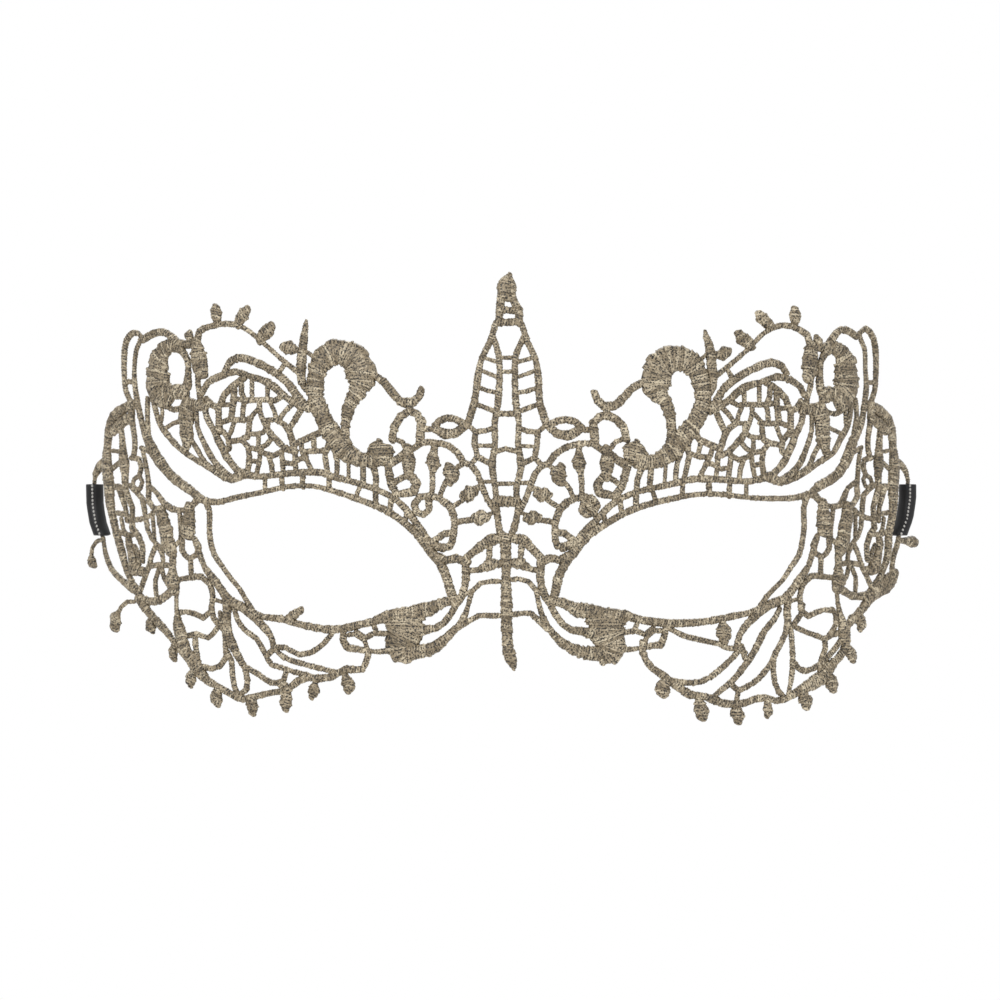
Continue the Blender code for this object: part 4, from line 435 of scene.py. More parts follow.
# The right half hangs a little apart from its twin: column, row, then how far out and how far up.
HANG = {
    "lantern": ((6, 280, 8, 0), (8, 268, 6, 0), (16, 248, 6.5, 0), (24, 232, 6, 0), (28, 212, 5, -1),
        (31, 190, 3, 0), (38, 166, 3, 0), (7, 236, 3, 0), (6, 210, 3, 0), (8, 185, 2.5, 0),
        (10.5, 148, 2, 0), (13.5, 124, 2, 0), (10, 100, 0, -2), (8.5, 80, 4, 0), (6, 60, 2, 1),
        (31, 146, 0, -1)),
    "leaf": ((58, 173, 3, -2), (71, 163, 4.5, 0.5), (60, 156, 4, -1), (54.5, 116, -2, -1),
        (72.5, 129, 0.5, -1), (73, 108, 3.5, -1), (57, 145, 1, -3)),
    "hook": ((96, 180, 6, -5), (84, 169, 3, -2), (86, 150, 3.5, -1), (111, 164, 8, -1),
        (113.5, 151, 7.5, 1), (98, 187, 5, -3), (84, 201, 5, -3)),
    "comma": ((132, 216, 5, -9), (122, 209, 4, -7), (114, 199, 4, -6), (130, 225, 6, -5),
        (165, 251, 5, -6), (168, 226, 6, -7), (190.5, 206, 6, -2), (186, 181, 10, 0), (181, 170, 10, 0),
        (175, 159, 9, 1), (167, 149, 6, 1), (157.5, 181, 5, 1), (160.5, 158, 5, 2), (125, 138, 4.5, -1),
        (97, 128, 4.5, -1)),
    "brow": ((199, 270, 0.5, -10.5), (203, 240, 2, -2), (190, 156, 3, -6), (193, 139.5, 0, -6),
        (184, 118, 0, -7), (192, 104.5, 0, -8.5), (168, 98, 0, -6), (145, 90.5, 0, -3.5),
        (155, 109.5, 2, -5), (130, 85, 0, -3), (115, 79, 0, -2), (100, 67, -1, -1)),
    "eye corner": ((85, 53, -3.5, 2), (74, 38, -5, 2), (66, 28, -6, 0), (58.5, 12, -6.5, 1),
        (55, 0, -5, 0), (39.5, 14, -5.5, -1), (41, 3, -6, 0), (44, -6, -4, 0)),
    "nose": ((14, 9.5, 0, 2.5), (25, 7.5, -2, 2), (34, -1, -2.5, 2), (41, -26, -4, -1), (27, -25, -1, 3),
        (52, -40, -5, -3), (61, -49, -4, -4), (76, -59, -1, -2), (50, -15, -5, -1), (62, -32, -5, -1),
        (101, -40, 0, 0)),
    "lower rim": ((162.5, -50, -5.5, 2), (148, -58, 1, 4), (132, -30.5, 0, 2), (163, -38, 0, 6),
        (180, -38.5, 0, 6.5), (195, -36, 0, 4.5), (225, -28, 0, 2), (243, -26, 0, 4), (254, -18, 1, 3)),
    "dome": ((289, 277, 0.5, -2), (263, 275, -6, -4), (240, 258, -1, -8), (217, 243, 1, -6),
        (306, 259, -5, -3), (277, 267, 1, -1), (250, 253, 0, -7), (230, 237, 0, -6), (266, 233, -1, -5),
        (281, 219, 0, 0), (240, 223, 0, -6), (220, 210, 0, -6), (270, 219, 2, -6), (286, 214, 0, -5),
        (297, 208.5, -3, -5), (303, 198, -5, -3), (254, 214, 0, -6), (307, 234, -2, -1),
        (304, 218, -1, -3)),
    "oval scroll": ((316, 254, -4, -5), (341, 258.5, -6, 3), (328, 222, -4.5, 0), (359, 215, -8, 0),
        (346, 240, -6, -3), (332, 181, -2, -4), (332, 167.5, -3, -8), (326, 142.5, 2, -5),
        (301, 126, 2, -6), (288, 117.5, 0, -6)),
    "outer loop": ((364, 254, -11, 3), (372, 258, -13, 5), (381, 222, -12, -2), (371, 222, -12, -2),
        (379.5, 200, -11, 0), (368, 190, -9, 0), (357, 151, -10, 0), (351, 138, -8, 0)),
    "side edge": ((392, 172, -11, -1), (398, 143, -11, 0), (398, 116, -10, 0), (395, 90, -8, 0),
        (390, 62, -6, 0), (383, 38, -1, 0)),
    "wing": ((218, 104, 0, -8), (243, 98.5, 0, -5.5), (270, 93, 0, -1), (288, 88.5, 1, 5),
        (300, 90, 2, 7), (323, 80, 2, 4), (348, 97, -6, 6), (313, 99, -2, 5)),
    "temple": ((296, 72, 3, 0), (291, 36, 2.5, 0), (274, 11.5, 3, -1), (316, 43, 0, 2),
        (356, -10.5, 1, 6), (357, -21, -2, 1)),
}

# A stitched cord: rings of its mesh in one thread wrap, sides round a narrow and a broad cord,
# the breadth in squares that parts them, how far the round tip may reach past the last point, in
# squares, and how thin it ends, as a share.
RINGS_PER_STITCH = 3
NARROW_SIDES = 8
BROAD_SIDES = 12
BROAD_CORD = 9
TIP_REACH = 6
TIP_SHARE = 0.12

# Shares of half a cord's breadth: its rise in front, how much less satin rises, its rise behind,
# and the deepest groove. Shares of the cord height: what satin adds in front, and the back's limit.
FRONT_RISE = 0.92
SATIN_LESS = 0.12
BACK_RISE = 0.7
DEEPEST_GROOVE = 0.3
SATIN_MORE = 0.35
BACK_LIMIT = 0.62

# Section of a cord: power that fills out the round, and how far grooves also pull its edges in.
SECTION_POWER = 0.85
EDGE_PULL = 0.6

# Least painted light on a crest (the grooves get none and are painted in shade), and the share of a wrap's
# own tone against that of its spot.
LEAST_CREST_LIGHT = 0.45
WRAP_TONE = 0.5

# The ribbon's mesh: rows across, points of the free end, steps round the ear bar, share of the
# thickness from the middle of the two layers to one, points of the tail as shares of its length,
# where the loop leaves the layers, and how soon the cupping sets in, in metres.
RIBBON_ROWS = 9
FREE_POINTS = 24
LOOP_STEPS = 10
LAYER_SHARE = 0.55
TAIL_SHARES = (1.0, 0.7, 0.35, 0.0)
NECK_ALONG = 0.45
NECK_OUT = 0.8
CUP_START = 0.004
EDGE_ROUND = 0.00018

# Stitches of each ribbon: how many, the share of the breadth left before the first, their half
# size in metres, and their place on the loop as shares of its outer radius.
STITCHES = 14
STITCH_MARGIN = 0.03
STITCH_SIZE = (0.00022, 0.00022, 0.00030)
STITCH_AHEAD = 0.96
STITCH_OUT = 0.28

# Depth of the middle of the mask, behind its seat on the nose.
MIDDLE_DEPTH = 0.022

# Soft lights: name, place, size in metres and power in watts.
LIGHTS = (
    ("key", (-0.9, -1.3, 1.1), 0.9, 16.0),
    ("fill", (1.2, -1.2, 0.5), 1.2, 7.0),
    ("back", (0.2, 1.3, 1.2), 1.0, 12.0),
)


def plan_table():
    """Sideways place, depth and arc length along the face curve, from the nose to the temple."""
    angle = np.linspace(0, math.pi / 2, 901)
    across = FACE_HALF_BREADTH * np.sin(angle)
    back = FACE_DEPTH * (1 - np.cos(angle))
    steps = np.hypot(np.diff(across), np.diff(back))
    return across, back, np.concatenate(([0], np.cumsum(steps)))


PLAN_X, PLAN_Y, PLAN_ARC = plan_table()


def nose_ridge(across, height):
    """How far the lace stands forward over the nose."""
    low = 0.5 + 0.5 * np.tanh((NOSE_TOP - height) / NOSE_FADE)
    return NOSE_RIDGE * np.exp(-(across / NOSE_RIDGE_SPREAD) ** 2) * low


SEAT = float(nose_ridge(0.0, 0.0)) - LACE_THICKNESS / 2


def face_points(flat):
    """Flat lace (arc length, height) to the face."""
    arc, height = flat[:, 0], flat[:, 1]
    across = np.sign(arc) * np.interp(np.abs(arc), PLAN_ARC, PLAN_X)
    back = np.interp(np.abs(arc), PLAN_ARC, PLAN_Y)
    crown = CROWN_ROW * SQUARE_Z
    lean = BROW_LEAN * np.maximum(0, (height / crown - BROW_SHARE) / (1 - BROW_SHARE)) ** 2
    return np.stack((across, SEAT + back + lean - nose_ridge(across, height), height), axis=1)


def face_normals(flat):
    """Unit normals of the lace, pointing forward and out."""
    h = 1e-5
    along = face_points(flat + (h, 0)) - face_points(flat - (h, 0))
    up = face_points(flat + (0, h)) - face_points(flat - (0, h))
    normals = np.cross(along, up)
    return normals / np.linalg.norm(normals, axis=1)[:, None]


def unroll(column, row):
    """Chart position to the flat lace."""
    across = column * SQUARE_X
    return math.copysign(float(np.interp(abs(across), PLAN_X, PLAN_ARC)), across), row * SQUARE_Z


def stretch(column):
    """How much longer the curved lace is than its front view here."""
    share = abs(column) * SQUARE_X / FACE_HALF_BREADTH
    return math.hypot(1, FACE_DEPTH / FACE_HALF_BREADTH * share / math.sqrt(1 - share * share))


def hang(column, row):
    """Where the viewer's right half hangs against its mirrored twin, from the nearest marks."""
    total = shift_c = shift_r = 0.0
    for c, r, dc, dr in (mark for marks in HANG.values() for mark in marks):
        weight = 1 / ((column - c) ** 2 + (row - r) ** 2 + HANG_BLUR ** 2) ** 1.5
        total += weight
        shift_c += weight * dc
        shift_r += weight * dr
    return column + shift_c / total, row + shift_r / total


def charted(cords, turned, hung=False):
    """Cords of the chart as (motif, rows of column, row, breadth), columns to the viewer's right."""
    for motif, breadth, points in cords:
        breadths = breadth if isinstance(breadth, tuple) else (breadth,)
        at = np.linspace(0, len(breadths) - 1, len(points))
        wide = np.interp(at, range(len(breadths)), breadths)
        if hung:
            points = [hang(*point) for point in points]
        yield motif, [(turned * c, r, w) for (c, r), w in zip(points, wide)]


def all_cords():
    """Every cord of the lace, the middle first and the viewer's right last."""
    yield from charted(MIDDLE_CORDS, -1)
    yield from charted(SIDE_CORDS, -1)
    yield from charted(LEFT_CORDS, -1)
    yield from charted(SIDE_CORDS, 1, True)
    yield from charted(RIGHT_CORDS, 1)


def spline(rows, step):
    """Rows (x, y, breadth) filled in along a centripetal curve, about one step apart."""
    rows = [np.array(row, float) for row in rows]
    if len(rows) == 2:
        count = max(1, round(np.linalg.norm((rows[1] - rows[0])[:2]) / (2 * step)))
        return [rows[0] + (rows[1] - rows[0]) * i / count for i in range(count + 1)]
    closed = np.linalg.norm((rows[0] - rows[-1])[:2]) < step / 100
    first = rows[-2] if closed else 2 * rows[0] - rows[1]
    last = rows[1] if closed else 2 * rows[-1] - rows[-2]
    line = [first] + rows + [last]
    out = []
    for p0, p1, p2, p3 in zip(line, line[1:], line[2:], line[3:]):
        gaps = [max(np.linalg.norm((b - a)[:2]), 1e-9) ** 0.5 for a, b in ((p0, p1), (p1, p2), (p2, p3))]
        t0, t1 = 0.0, gaps[0]
        t2 = t1 + gaps[1]
        t3 = t2 + gaps[2]
        count = max(1, round(np.linalg.norm((p2 - p1)[:2]) / step))
        for i in range(count):
            t = t1 + (t2 - t1) * i / count
            a1 = (p0 * (t1 - t) + p1 * (t - t0)) / (t1 - t0)
            a2 = (p1 * (t2 - t) + p2 * (t - t1)) / (t2 - t1)
            a3 = (p2 * (t3 - t) + p3 * (t - t2)) / (t3 - t2)
            b1 = (a1 * (t2 - t) + a2 * (t - t0)) / (t2 - t0)
            b2 = (a2 * (t3 - t) + a3 * (t - t1)) / (t3 - t1)
            out.append((b1 * (t2 - t) + b2 * (t - t1)) / (t2 - t1))
    out.append(rows[-1])
    return out


def flat_line(rows, step):
    """A charted cord on the flat lace; broad satin opens out where the lace turns away."""
    out = []
    for i, (column, row, wide) in enumerate(rows):
        a, b = rows[max(0, i - 1)], rows[min(len(rows) - 1, i + 1)]
        heading = math.atan2(b[1] - a[1], b[0] - a[0])
        satin = min(max((wide - CORD_BREADTH) / (SATIN_BREADTH - CORD_BREADTH), 0), 1)
        open_out = 1 + (stretch(column) - 1) * abs(math.sin(heading)) * satin
        out.append((*unroll(column, row), wide * SQUARE_Z * open_out))
    return np.array(spline(out, step))


def even(line, step):
    """The line with points exactly one step apart."""
    gaps = np.linalg.norm(np.diff(line[:, :2], axis=0), axis=1)
    walked = np.concatenate(([0], np.cumsum(gaps)))
    count = max(2, int(round(walked[-1] / step)))
    at = np.linspace(0, walked[-1], count + 1)
    return np.stack([np.interp(at, walked, line[:, k]) for k in range(3)], axis=1)


def round_ends(line, step):
    """The line run on past both ends, tapering to a round tip."""
    out = [line]
    for end, before in ((0, 1), (-1, -2)):
        tip = line[end]
        radius = min(tip[2] / 2, TIP_REACH * SQUARE_Z)
        run = tip[:2] - line[before, :2]
        run = run / np.linalg.norm(run)
        shares = np.linspace(0, 1, max(3, round(radius / step)) + 1)[1:]
        breadths = [tip[2] * max(math.sqrt(1 - k * k), TIP_SHARE) for k in shares]
        rows = [(*(tip[:2] + run * radius * k), wide) for k, wide in zip(shares, breadths)]
        out = [np.array(rows[::-1])] + out if end == 0 else out + [np.array(rows)]
    return np.concatenate(out)


def stitched_cord(rows, sizes, rng):
    """One satin-stitched cord: verts, faces and for each vert its painted light share, which leaves the
    grooves in painted shade, and its tone.
    """
    step = sizes.stitch_pitch / RINGS_PER_STITCH
    line = even(flat_line(rows, 3 * sizes.stitch_pitch), step)
    closed = np.linalg.norm(line[0, :2] - line[-1, :2]) < 1e-6
    line = line[:-1] if closed else round_ends(line, step)
    count = len(line)
    heading = np.roll(line[:, :2], -1, axis=0) - np.roll(line[:, :2], 1, axis=0)
    if not closed:
        heading[0] = line[1, :2] - line[0, :2]
        heading[-1] = line[-1, :2] - line[-2, :2]
    heading /= np.linalg.norm(heading, axis=1)[:, None]
    side = np.stack((-heading[:, 1], heading[:, 0]), axis=1)
    half = line[:, 2] / 2 + sizes.fullness * np.minimum(1, line[:, 2] / (3 * SQUARE_Z))
    satin = np.clip((line[:, 2] / SQUARE_Z - CORD_BREADTH) / (SATIN_BREADTH - CORD_BREADTH), 0, 1)
    front = np.minimum(half * (FRONT_RISE - SATIN_LESS * satin),
                       sizes.cord_height * (1 + SATIN_MORE * satin))
    back = np.minimum(half * BACK_RISE, sizes.cord_height * BACK_LIMIT)
    stitch = np.arange(count) // RINGS_PER_STITCH
    crest = (np.arange(count) % RINGS_PER_STITCH > 0).astype(float)
    sides = BROAD_SIDES if line[:, 2].max() > BROAD_CORD * SQUARE_Z else NARROW_SIDES
    reach = 1 + sizes.unevenness * rng.normal(0, 1, stitch[-1] + 1)[stitch]
    tone = rng.uniform(0, 1, stitch[-1] + 1)[stitch]
    sunk = np.where(crest > 0, 0.0, np.minimum(sizes.groove, DEEPEST_GROOVE * half))
    verts = np.empty((count, sides, 3))
    for k in range(sides):
        turn = math.tau * k / sides
        across, lift = math.cos(turn), math.sin(turn)
        out = across * (half * reach - EDGE_PULL * sunk)
        rise = (front if lift > 0 else back) * math.copysign(abs(lift) ** SECTION_POWER, lift) - sunk * lift
        lean = sizes.slant * across * np.minimum(half, sizes.stitch_pitch)
        flat = line[:, :2] + side * out[:, None] + heading * lean[:, None]
        verts[:, k] = face_points(flat) + face_normals(flat) * rise[:, None]
    values = np.empty((count, sides, 2))
    # Red: painted light share, zero in the grooves so that they take the painted shade colour. Green: random
    # tone of each wrap.
    values[:, :, 0] = crest[:, None] * rng.uniform(LEAST_CREST_LIGHT, 1, (count, sides))
    values[:, :, 1] = WRAP_TONE * tone[:, None] + (1 - WRAP_TONE) * rng.uniform(0, 1, (count, sides))
    index = np.arange(count * sides).reshape(count, sides)
    low, high = (index, np.roll(index, -1, axis=0)) if closed else (index[:-1], index[1:])
    quads = np.stack((low, np.roll(low, -1, axis=1), np.roll(high, -1, axis=1), high), axis=2)
    faces = [tuple(quad) for quad in quads.reshape(-1, 4).tolist()]
    if not closed:
        faces += [tuple(index[0][::-1].tolist()), tuple(index[-1].tolist())]
    return verts.reshape(-1, 3), faces, values.reshape(-1, 2)


def region_of(rows):
    """Which piece of the lace a cord belongs to."""
    column = np.mean([c for c, _, _ in rows])
    row = np.mean([r for _, r, _ in rows])
    if abs(column) < CENTRE_COLUMNS:
        return "lace_centre"
    level = "brow" if row > BROW_ROW else "cheek"
    return f"lace_{level}_{'left' if column < 0 else 'right'}"


def mesh_piece(name, verts, faces, values):
    """A new mesh object with smooth faces; each vert's painted light share (none in the grooves, which are
    painted in shade) and tone are red and green of "stitch".
    """
    data = bpy.data.meshes.new(name)
    data.from_pydata([tuple(v) for v in verts], [], faces)
    layer = data.attributes.new("stitch", "FLOAT_COLOR", "POINT")
    rgba = np.ones((len(values), 4))
    rgba[:, :2] = values
    layer.data.foreach_set("color", rgba.ravel())
    data.polygons.foreach_set("use_smooth", [True] * len(data.polygons))
    data.update()
    thing = bpy.data.objects.new(name, data)
    bpy.context.scene.collection.objects.link(thing)
    return thing


def srgb(code):
    """Hex colour to linear RGBA."""
    parts = [int(code[i:i + 2], 16) / 255 for i in (1, 3, 5)]
    return (*[c / 12.92 if c <= 0.04045 else ((c + 0.055) / 1.055) ** 2.4 for c in parts], 1)


def add_node(tree, kind, links=(), **settings):
    """One node with its settings; numbers are input values by name, links are (input, socket)."""
    node = tree.nodes.new(kind)
    for key, value in settings.items():
        if hasattr(node, key):
            setattr(node, key, value)
        else:
            node.inputs[key.replace("_", " ")].default_value = value
    for name, socket in links:
        tree.links.new(socket, node.inputs[name])
    return node


def new_material(name, rough, metal):
    """A material, its node tree and its shader."""
    material = bpy.data.materials.new(name)
    material.use_nodes = True
    shader = material.node_tree.nodes["Principled BSDF"]
    shader.inputs["Roughness"].default_value = rough
    shader.inputs["Metallic"].default_value = metal
    return material, material.node_tree, shader


def ramp(tree, socket, stops):
    """Colour ramp with (place, linear colour) stops."""
    node = tree.nodes.new("ShaderNodeValToRGB")
    tree.links.new(socket, node.inputs[0])
    band = node.color_ramp
    while len(band.elements) < len(stops):
        band.elements.new(0.5)
    for element, (place, colour) in zip(band.elements, stops):
        element.position = place
        element.color = (*colour[:3], 1)
    return node


def mix_values(tree, share, first, second):
    """Number between two others, by a share of the second."""
    node = tree.nodes.new("ShaderNodeMix")
    node.inputs[0].default_value = share
    tree.links.new(first, node.inputs[2])
    tree.links.new(second, node.inputs[3])
    return node.outputs[0]


def lame_thread(looks):
    """Champagne embroidery thread spun with metallic foil: crests in the thread colour, painted shade in the
    grooves between the stitches and between the filaments.
    """
    material, tree, shader = new_material("champagne_lame_thread", 0.48, 0.15)
    stitch = add_node(tree, "ShaderNodeAttribute", attribute_name="stitch")
    parts = add_node(tree, "ShaderNodeSeparateColor", [("Color", stitch.outputs["Color"])])
    place = add_node(tree, "ShaderNodeTexCoord")
    fibre = add_node(tree, "ShaderNodeTexNoise", [("Vector", place.outputs["Object"])],
                     Scale=1 / looks.filament, Detail=1.0)
    patch = add_node(tree, "ShaderNodeTexNoise", [("Vector", place.outputs["Object"])],
                     Scale=1 / looks.patch, Detail=2.0)
    # Tone of the wraps, in patches.
    tone = mix_values(tree, 0.30, parts.outputs["Green"], patch.outputs["Fac"])
    thread = ramp(tree, tone, ((0.20, looks.thread_dark), (0.50, looks.thread), (0.85, looks.thread_light)))
    # Painted shade: dark in the grooves between the wraps and in the gaps between filaments.
    filament_shade = ramp(tree, fibre.outputs["Fac"], ((0.45, srgb("#000000")), (0.54, srgb("#ffffff"))))
    lit = mix_values(tree, 0.55, parts.outputs["Red"], filament_shade.outputs["Color"])
    share = add_node(tree, "ShaderNodeMapRange", [("Value", lit)], From_Min=0.12, From_Max=0.62)
    colour = tree.nodes.new("ShaderNodeMix")
    colour.data_type = "RGBA"
    # Painted shade: the grooves and filament gaps blend towards this near-black colour.
    colour.inputs[6].default_value = (*looks.gap, 1)
    tree.links.new(share.outputs["Result"], colour.inputs["Factor"])
    tree.links.new(thread.outputs["Color"], colour.inputs[7])
    tree.links.new(colour.outputs[2], shader.inputs["Base Color"])
    bump = add_node(tree, "ShaderNodeBump", [("Height", fibre.outputs["Fac"])], Strength=0.6,
                    Distance=0.0001)
    tree.links.new(bump.outputs["Normal"], shader.inputs["Normal"])
    return material


def satin_ribbon(looks):
    """Black polyester satin: floats along the ribbon make a soft, stretched gloss."""
    material, tree, shader = new_material("black_polyester_satin", 0.42, 0.0)
    shader.inputs["Base Color"].default_value = (*looks.ribbon, 1)
    shader.inputs["Specular IOR Level"].default_value = 0.3
    shader.inputs["Anisotropic"].default_value = 0.6
    place = add_node(tree, "ShaderNodeUVMap", uv_map="ribbon")
    # Fine ribs of the weave, along the ribbon's own plan.
    rib = add_node(tree, "ShaderNodeTexWave", [("Vector", place.outputs["UV"])], Scale=640.0,
                   Distortion=1.2, Detail=1.0)
    bump = add_node(tree, "ShaderNodeBump", [("Height", rib.outputs["Fac"])], Strength=0.12,
                    Distance=0.00005)
    tree.links.new(bump.outputs["Normal"], shader.inputs["Normal"])
    return material


def stitch_yarn():
    """Pale grey polyester sewing thread."""
    material, tree, shader = new_material("pale_sewing_thread", 0.55, 0.0)
    place = add_node(tree, "ShaderNodeTexCoord")
    fuzz = add_node(tree, "ShaderNodeTexNoise", [("Vector", place.outputs["Object"])], Scale=9000.0)
    shade = ramp(tree, fuzz.outputs["Fac"], ((0.3, srgb("#6b6966")), (0.7, srgb("#b4b2ae"))))
    tree.links.new(shade.outputs["Color"], shader.inputs["Base Color"])
    return material


def bar_point(cords, row, turned):
    """Plan position of the ear bar at a row of the chart."""
    bar = sorted((r, c) for motif, _, points in cords if motif == "ear bar" for c, r in points)
    column = turned * float(np.interp(row, [r for r, _ in bar], [c for _, c in bar]))
    return face_points(np.array([unroll(column, row)]))[0, :2]


def ribbon_place(side, row, along, out, sizes):
    """Plan place on a tie ribbon, by its distance behind the ear bar and outwards."""
    cords, turned = (LEFT_CORDS, -1) if side == "left" else (RIGHT_CORDS, 1)
    bow = RIBBON_BOW * max(0.0, along / sizes.length) ** 2
    return bar_point(cords, row, turned) + (turned * (out - bow), along)


def ribbon_run(sizes):
    """The ribbon's run as (distance behind the bar, outwards): tail, loop round the bar, free end."""
    close = sizes.eyelet_length
    middle = sizes.eyelet_radius + sizes.ribbon_thickness / 2
    lay = LAYER_SHARE * sizes.ribbon_thickness
    tail = [(close + sizes.ribbon_tail * k, -lay) for k in TAIL_SHARES]
    turns = [-math.pi / 2 - math.pi * k / LOOP_STEPS for k in range(LOOP_STEPS + 1)]
    loop = [(middle * math.cos(t), middle * math.sin(t)) for t in turns]
    neck = (NECK_ALONG * close, NECK_OUT * middle)
    free = [(along, lay) for along in np.linspace(close, sizes.length, FREE_POINTS)]
    return tail + [(neck[0], -neck[1])] + loop + [neck] + free


class LaceLooks(bpy.types.PropertyGroup):
    stitch_pitch: FloatProperty(name="Stitch pitch", description="Distance from one thread wrap to the next",
                                default=0.00056, unit="LENGTH", precision=5)
    cord_height: FloatProperty(name="Cord height", description="How far a cord stands out of the lace",
                               default=0.00075, unit="LENGTH", precision=5)
    groove: FloatProperty(name="Groove", description="Depth between two wraps",
                          default=0.00013, unit="LENGTH", precision=5)
    slant: FloatProperty(name="Slant", description="How far the wraps lean along the cord, as a share",
                         default=0.35, subtype="FACTOR")
    # Size of the filament bump, and of the painted shade between filaments.
    filament: FloatProperty(name="Filament", description="Size of the dark flecks between filaments",
                            default=0.00036, unit="LENGTH", precision=5)
    patch: FloatProperty(name="Patch", description="Size of lighter and darker patches",
                         default=0.004, unit="LENGTH", precision=5)
    fullness: FloatProperty(name="Fullness", description="Thread that stands out past the charted breadth",
                            default=0.00007, unit="LENGTH", precision=5)
    unevenness: FloatProperty(name="Unevenness", description="How much the wraps differ in reach",
                              default=0.06, subtype="FACTOR")
    seed: IntProperty(name="Seed", description="Pattern of uneven stitches", default=5)
    thread: FloatVectorProperty(name="Thread", description="Colour of the thread", subtype="COLOR",
                                default=srgb("#857862")[:3])
    thread_light: FloatVectorProperty(name="Light thread", description="Colour of its bright wraps",
                                      subtype="COLOR", default=srgb("#c4b89f")[:3])
    thread_dark: FloatVectorProperty(name="Dark thread", description="Colour of its dull wraps",
                                     subtype="COLOR", default=srgb("#564a35")[:3])
    # Painted shade, laid in the grooves between wraps and the gaps between filaments.
    gap: FloatVectorProperty(name="Gap", description="Colour deep between the wraps", subtype="COLOR",
                             default=srgb("#0f0a05")[:3])


class RibbonLooks(bpy.types.PropertyGroup):
    width: FloatProperty(name="Width", description="Width of the ribbon", default=0.0102, unit="LENGTH")
    ribbon_thickness: FloatProperty(name="Thickness", description="Thickness of the ribbon",
                                    default=0.0007, unit="LENGTH", precision=5)
    eyelet_radius: FloatProperty(name="Loop radius", description="Room for the ear bar in the loop",
                                 default=0.00105, unit="LENGTH", precision=5)
    eyelet_length: FloatProperty(name="Loop length", description="From the ear bar to the stitches",
                                 default=0.0034, unit="LENGTH", precision=5)
    ribbon_tail: FloatProperty(name="Tail", description="Ribbon left behind the stitches",
                               default=0.006, unit="LENGTH")
    length: FloatProperty(name="Length", description="From the ear bar to the cut end", default=0.045,
                          unit="LENGTH")
    cup: FloatProperty(name="Cup", description="How far the middle of the ribbon bulges out",
                       default=0.0004, unit="LENGTH", precision=5)
    middle_height: FloatProperty(name="Height", description="Height of the ribbon's middle",
                                 default=0.0162, unit="LENGTH")
    ribbon: FloatVectorProperty(name="Ribbon", description="Colour of the ribbon", subtype="COLOR",
                                default=srgb("#0b0b0d")[:3])


class StageLooks(bpy.types.PropertyGroup):
    view_width: FloatProperty(name="View width", description="Breadth of the picture at the mask",
                              default=0.200, unit="LENGTH")
    distance: FloatProperty(name="Distance", description="From the middle of the mask to the camera",
                            default=0.9, unit="LENGTH")
    view_across: FloatProperty(name="View centre across", description="Middle of the picture, sideways",
                               default=-0.00112, unit="LENGTH", precision=5)
    view_height: FloatProperty(name="View centre height", description="Middle of the picture, upwards",
                               default=0.01814, unit="LENGTH", precision=5)
    sky: FloatProperty(name="Studio brightness", description="Strength of the pale surroundings",
                       default=1.0)
    floor: FloatVectorProperty(name="Floor", description="Colour of the floor", subtype="COLOR",
                               default=srgb("#f4f3f1")[:3])


class MASK_OT_lace(bpy.types.Operator):
    """Stitches every charted cord of the lace, one object a region"""
    bl_idname = "eye_mask.lace"
    bl_label = "Stitched lace"

    def execute(self, context):
        looks = context.scene.lace_looks
        rng = np.random.default_rng(looks.seed)
        regions = {}
        for _, rows in all_cords():
            verts, faces, values = stitched_cord(rows, looks, rng)
            part = regions.setdefault(region_of(rows), ([], [], []))
            first = sum(len(v) for v in part[0])
            part[0].append(verts)
            part[1].extend(tuple(first + k for k in face) for face in faces)
            part[2].append(values)
        material = lame_thread(looks)
        for name, (verts, faces, values) in sorted(regions.items()):
            piece = mesh_piece(name, np.concatenate(verts), faces, np.concatenate(values))
            piece.data.materials.append(material)
            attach(piece, "root")
            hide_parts("lace_mask")
        return {"FINISHED"}


class MASK_OT_ribbons(bpy.types.Operator):
    """Folds a satin tie ribbon round each ear bar and lays its free end back along the temple"""
    bl_idname = "eye_mask.ribbons"
    bl_label = "Tie ribbons"

    def execute(self, context):
        sizes = context.scene.ribbon_looks
        satin = satin_ribbon(sizes)
        for side in ("left", "right"):
            run = ribbon_run(sizes)
            bpy.ops.object.select_all(action="DESELECT")
            bpy.ops.mesh.primitive_grid_add(x_subdivisions=len(run) - 1, y_subdivisions=RIBBON_ROWS - 1,
                                            size=1)
            band = context.active_object
            band.name = f"satin_ribbon_{side}"
            mesh = band.data
            walked = [0.0]
            for (a, b), (c, d) in zip(run, run[1:]):
                walked.append(walked[-1] + math.hypot(c - a, d - b))
            places = []
            for vert in mesh.vertices:
                i = round((vert.co.x + 0.5) * (len(run) - 1))
                share = vert.co.y + 0.5
                along, out = run[i]
                height = sizes.middle_height + (share - 0.5) * sizes.width
                cup = sizes.cup * (1 - (2 * share - 1) ** 2) * min(1, abs(along) / CUP_START)
                x, y = ribbon_place(side, height / SQUARE_Z, along, out + cup, sizes)
                places.append((walked[i], share * sizes.width))
                vert.co = (x, y, height)
            uv = mesh.uv_layers[0]
            uv.name = "ribbon"
            for loop in mesh.loops:
                uv.data[loop.index].uv = places[loop.vertex_index]
            bpy.ops.object.mode_set(mode="EDIT")
            bpy.ops.mesh.select_all(action="SELECT")
            bpy.ops.mesh.normals_make_consistent(inside=False)
            bpy.ops.object.mode_set(mode="OBJECT")
            wall = band.modifiers.new("wall", "SOLIDIFY")
            wall.thickness = sizes.ribbon_thickness
            wall.offset = 0
            edge = band.modifiers.new("edge", "BEVEL")
            edge.width = EDGE_ROUND
            edge.segments = 2
            bpy.ops.object.modifier_apply(modifier="wall")
            bpy.ops.object.modifier_apply(modifier="edge")
            bpy.ops.object.shade_smooth_by_angle(angle=math.radians(50))
            band.data.materials.append(satin)
            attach(band, "root")
            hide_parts(f"ribbon_{side}")
        return {"FINISHED"}


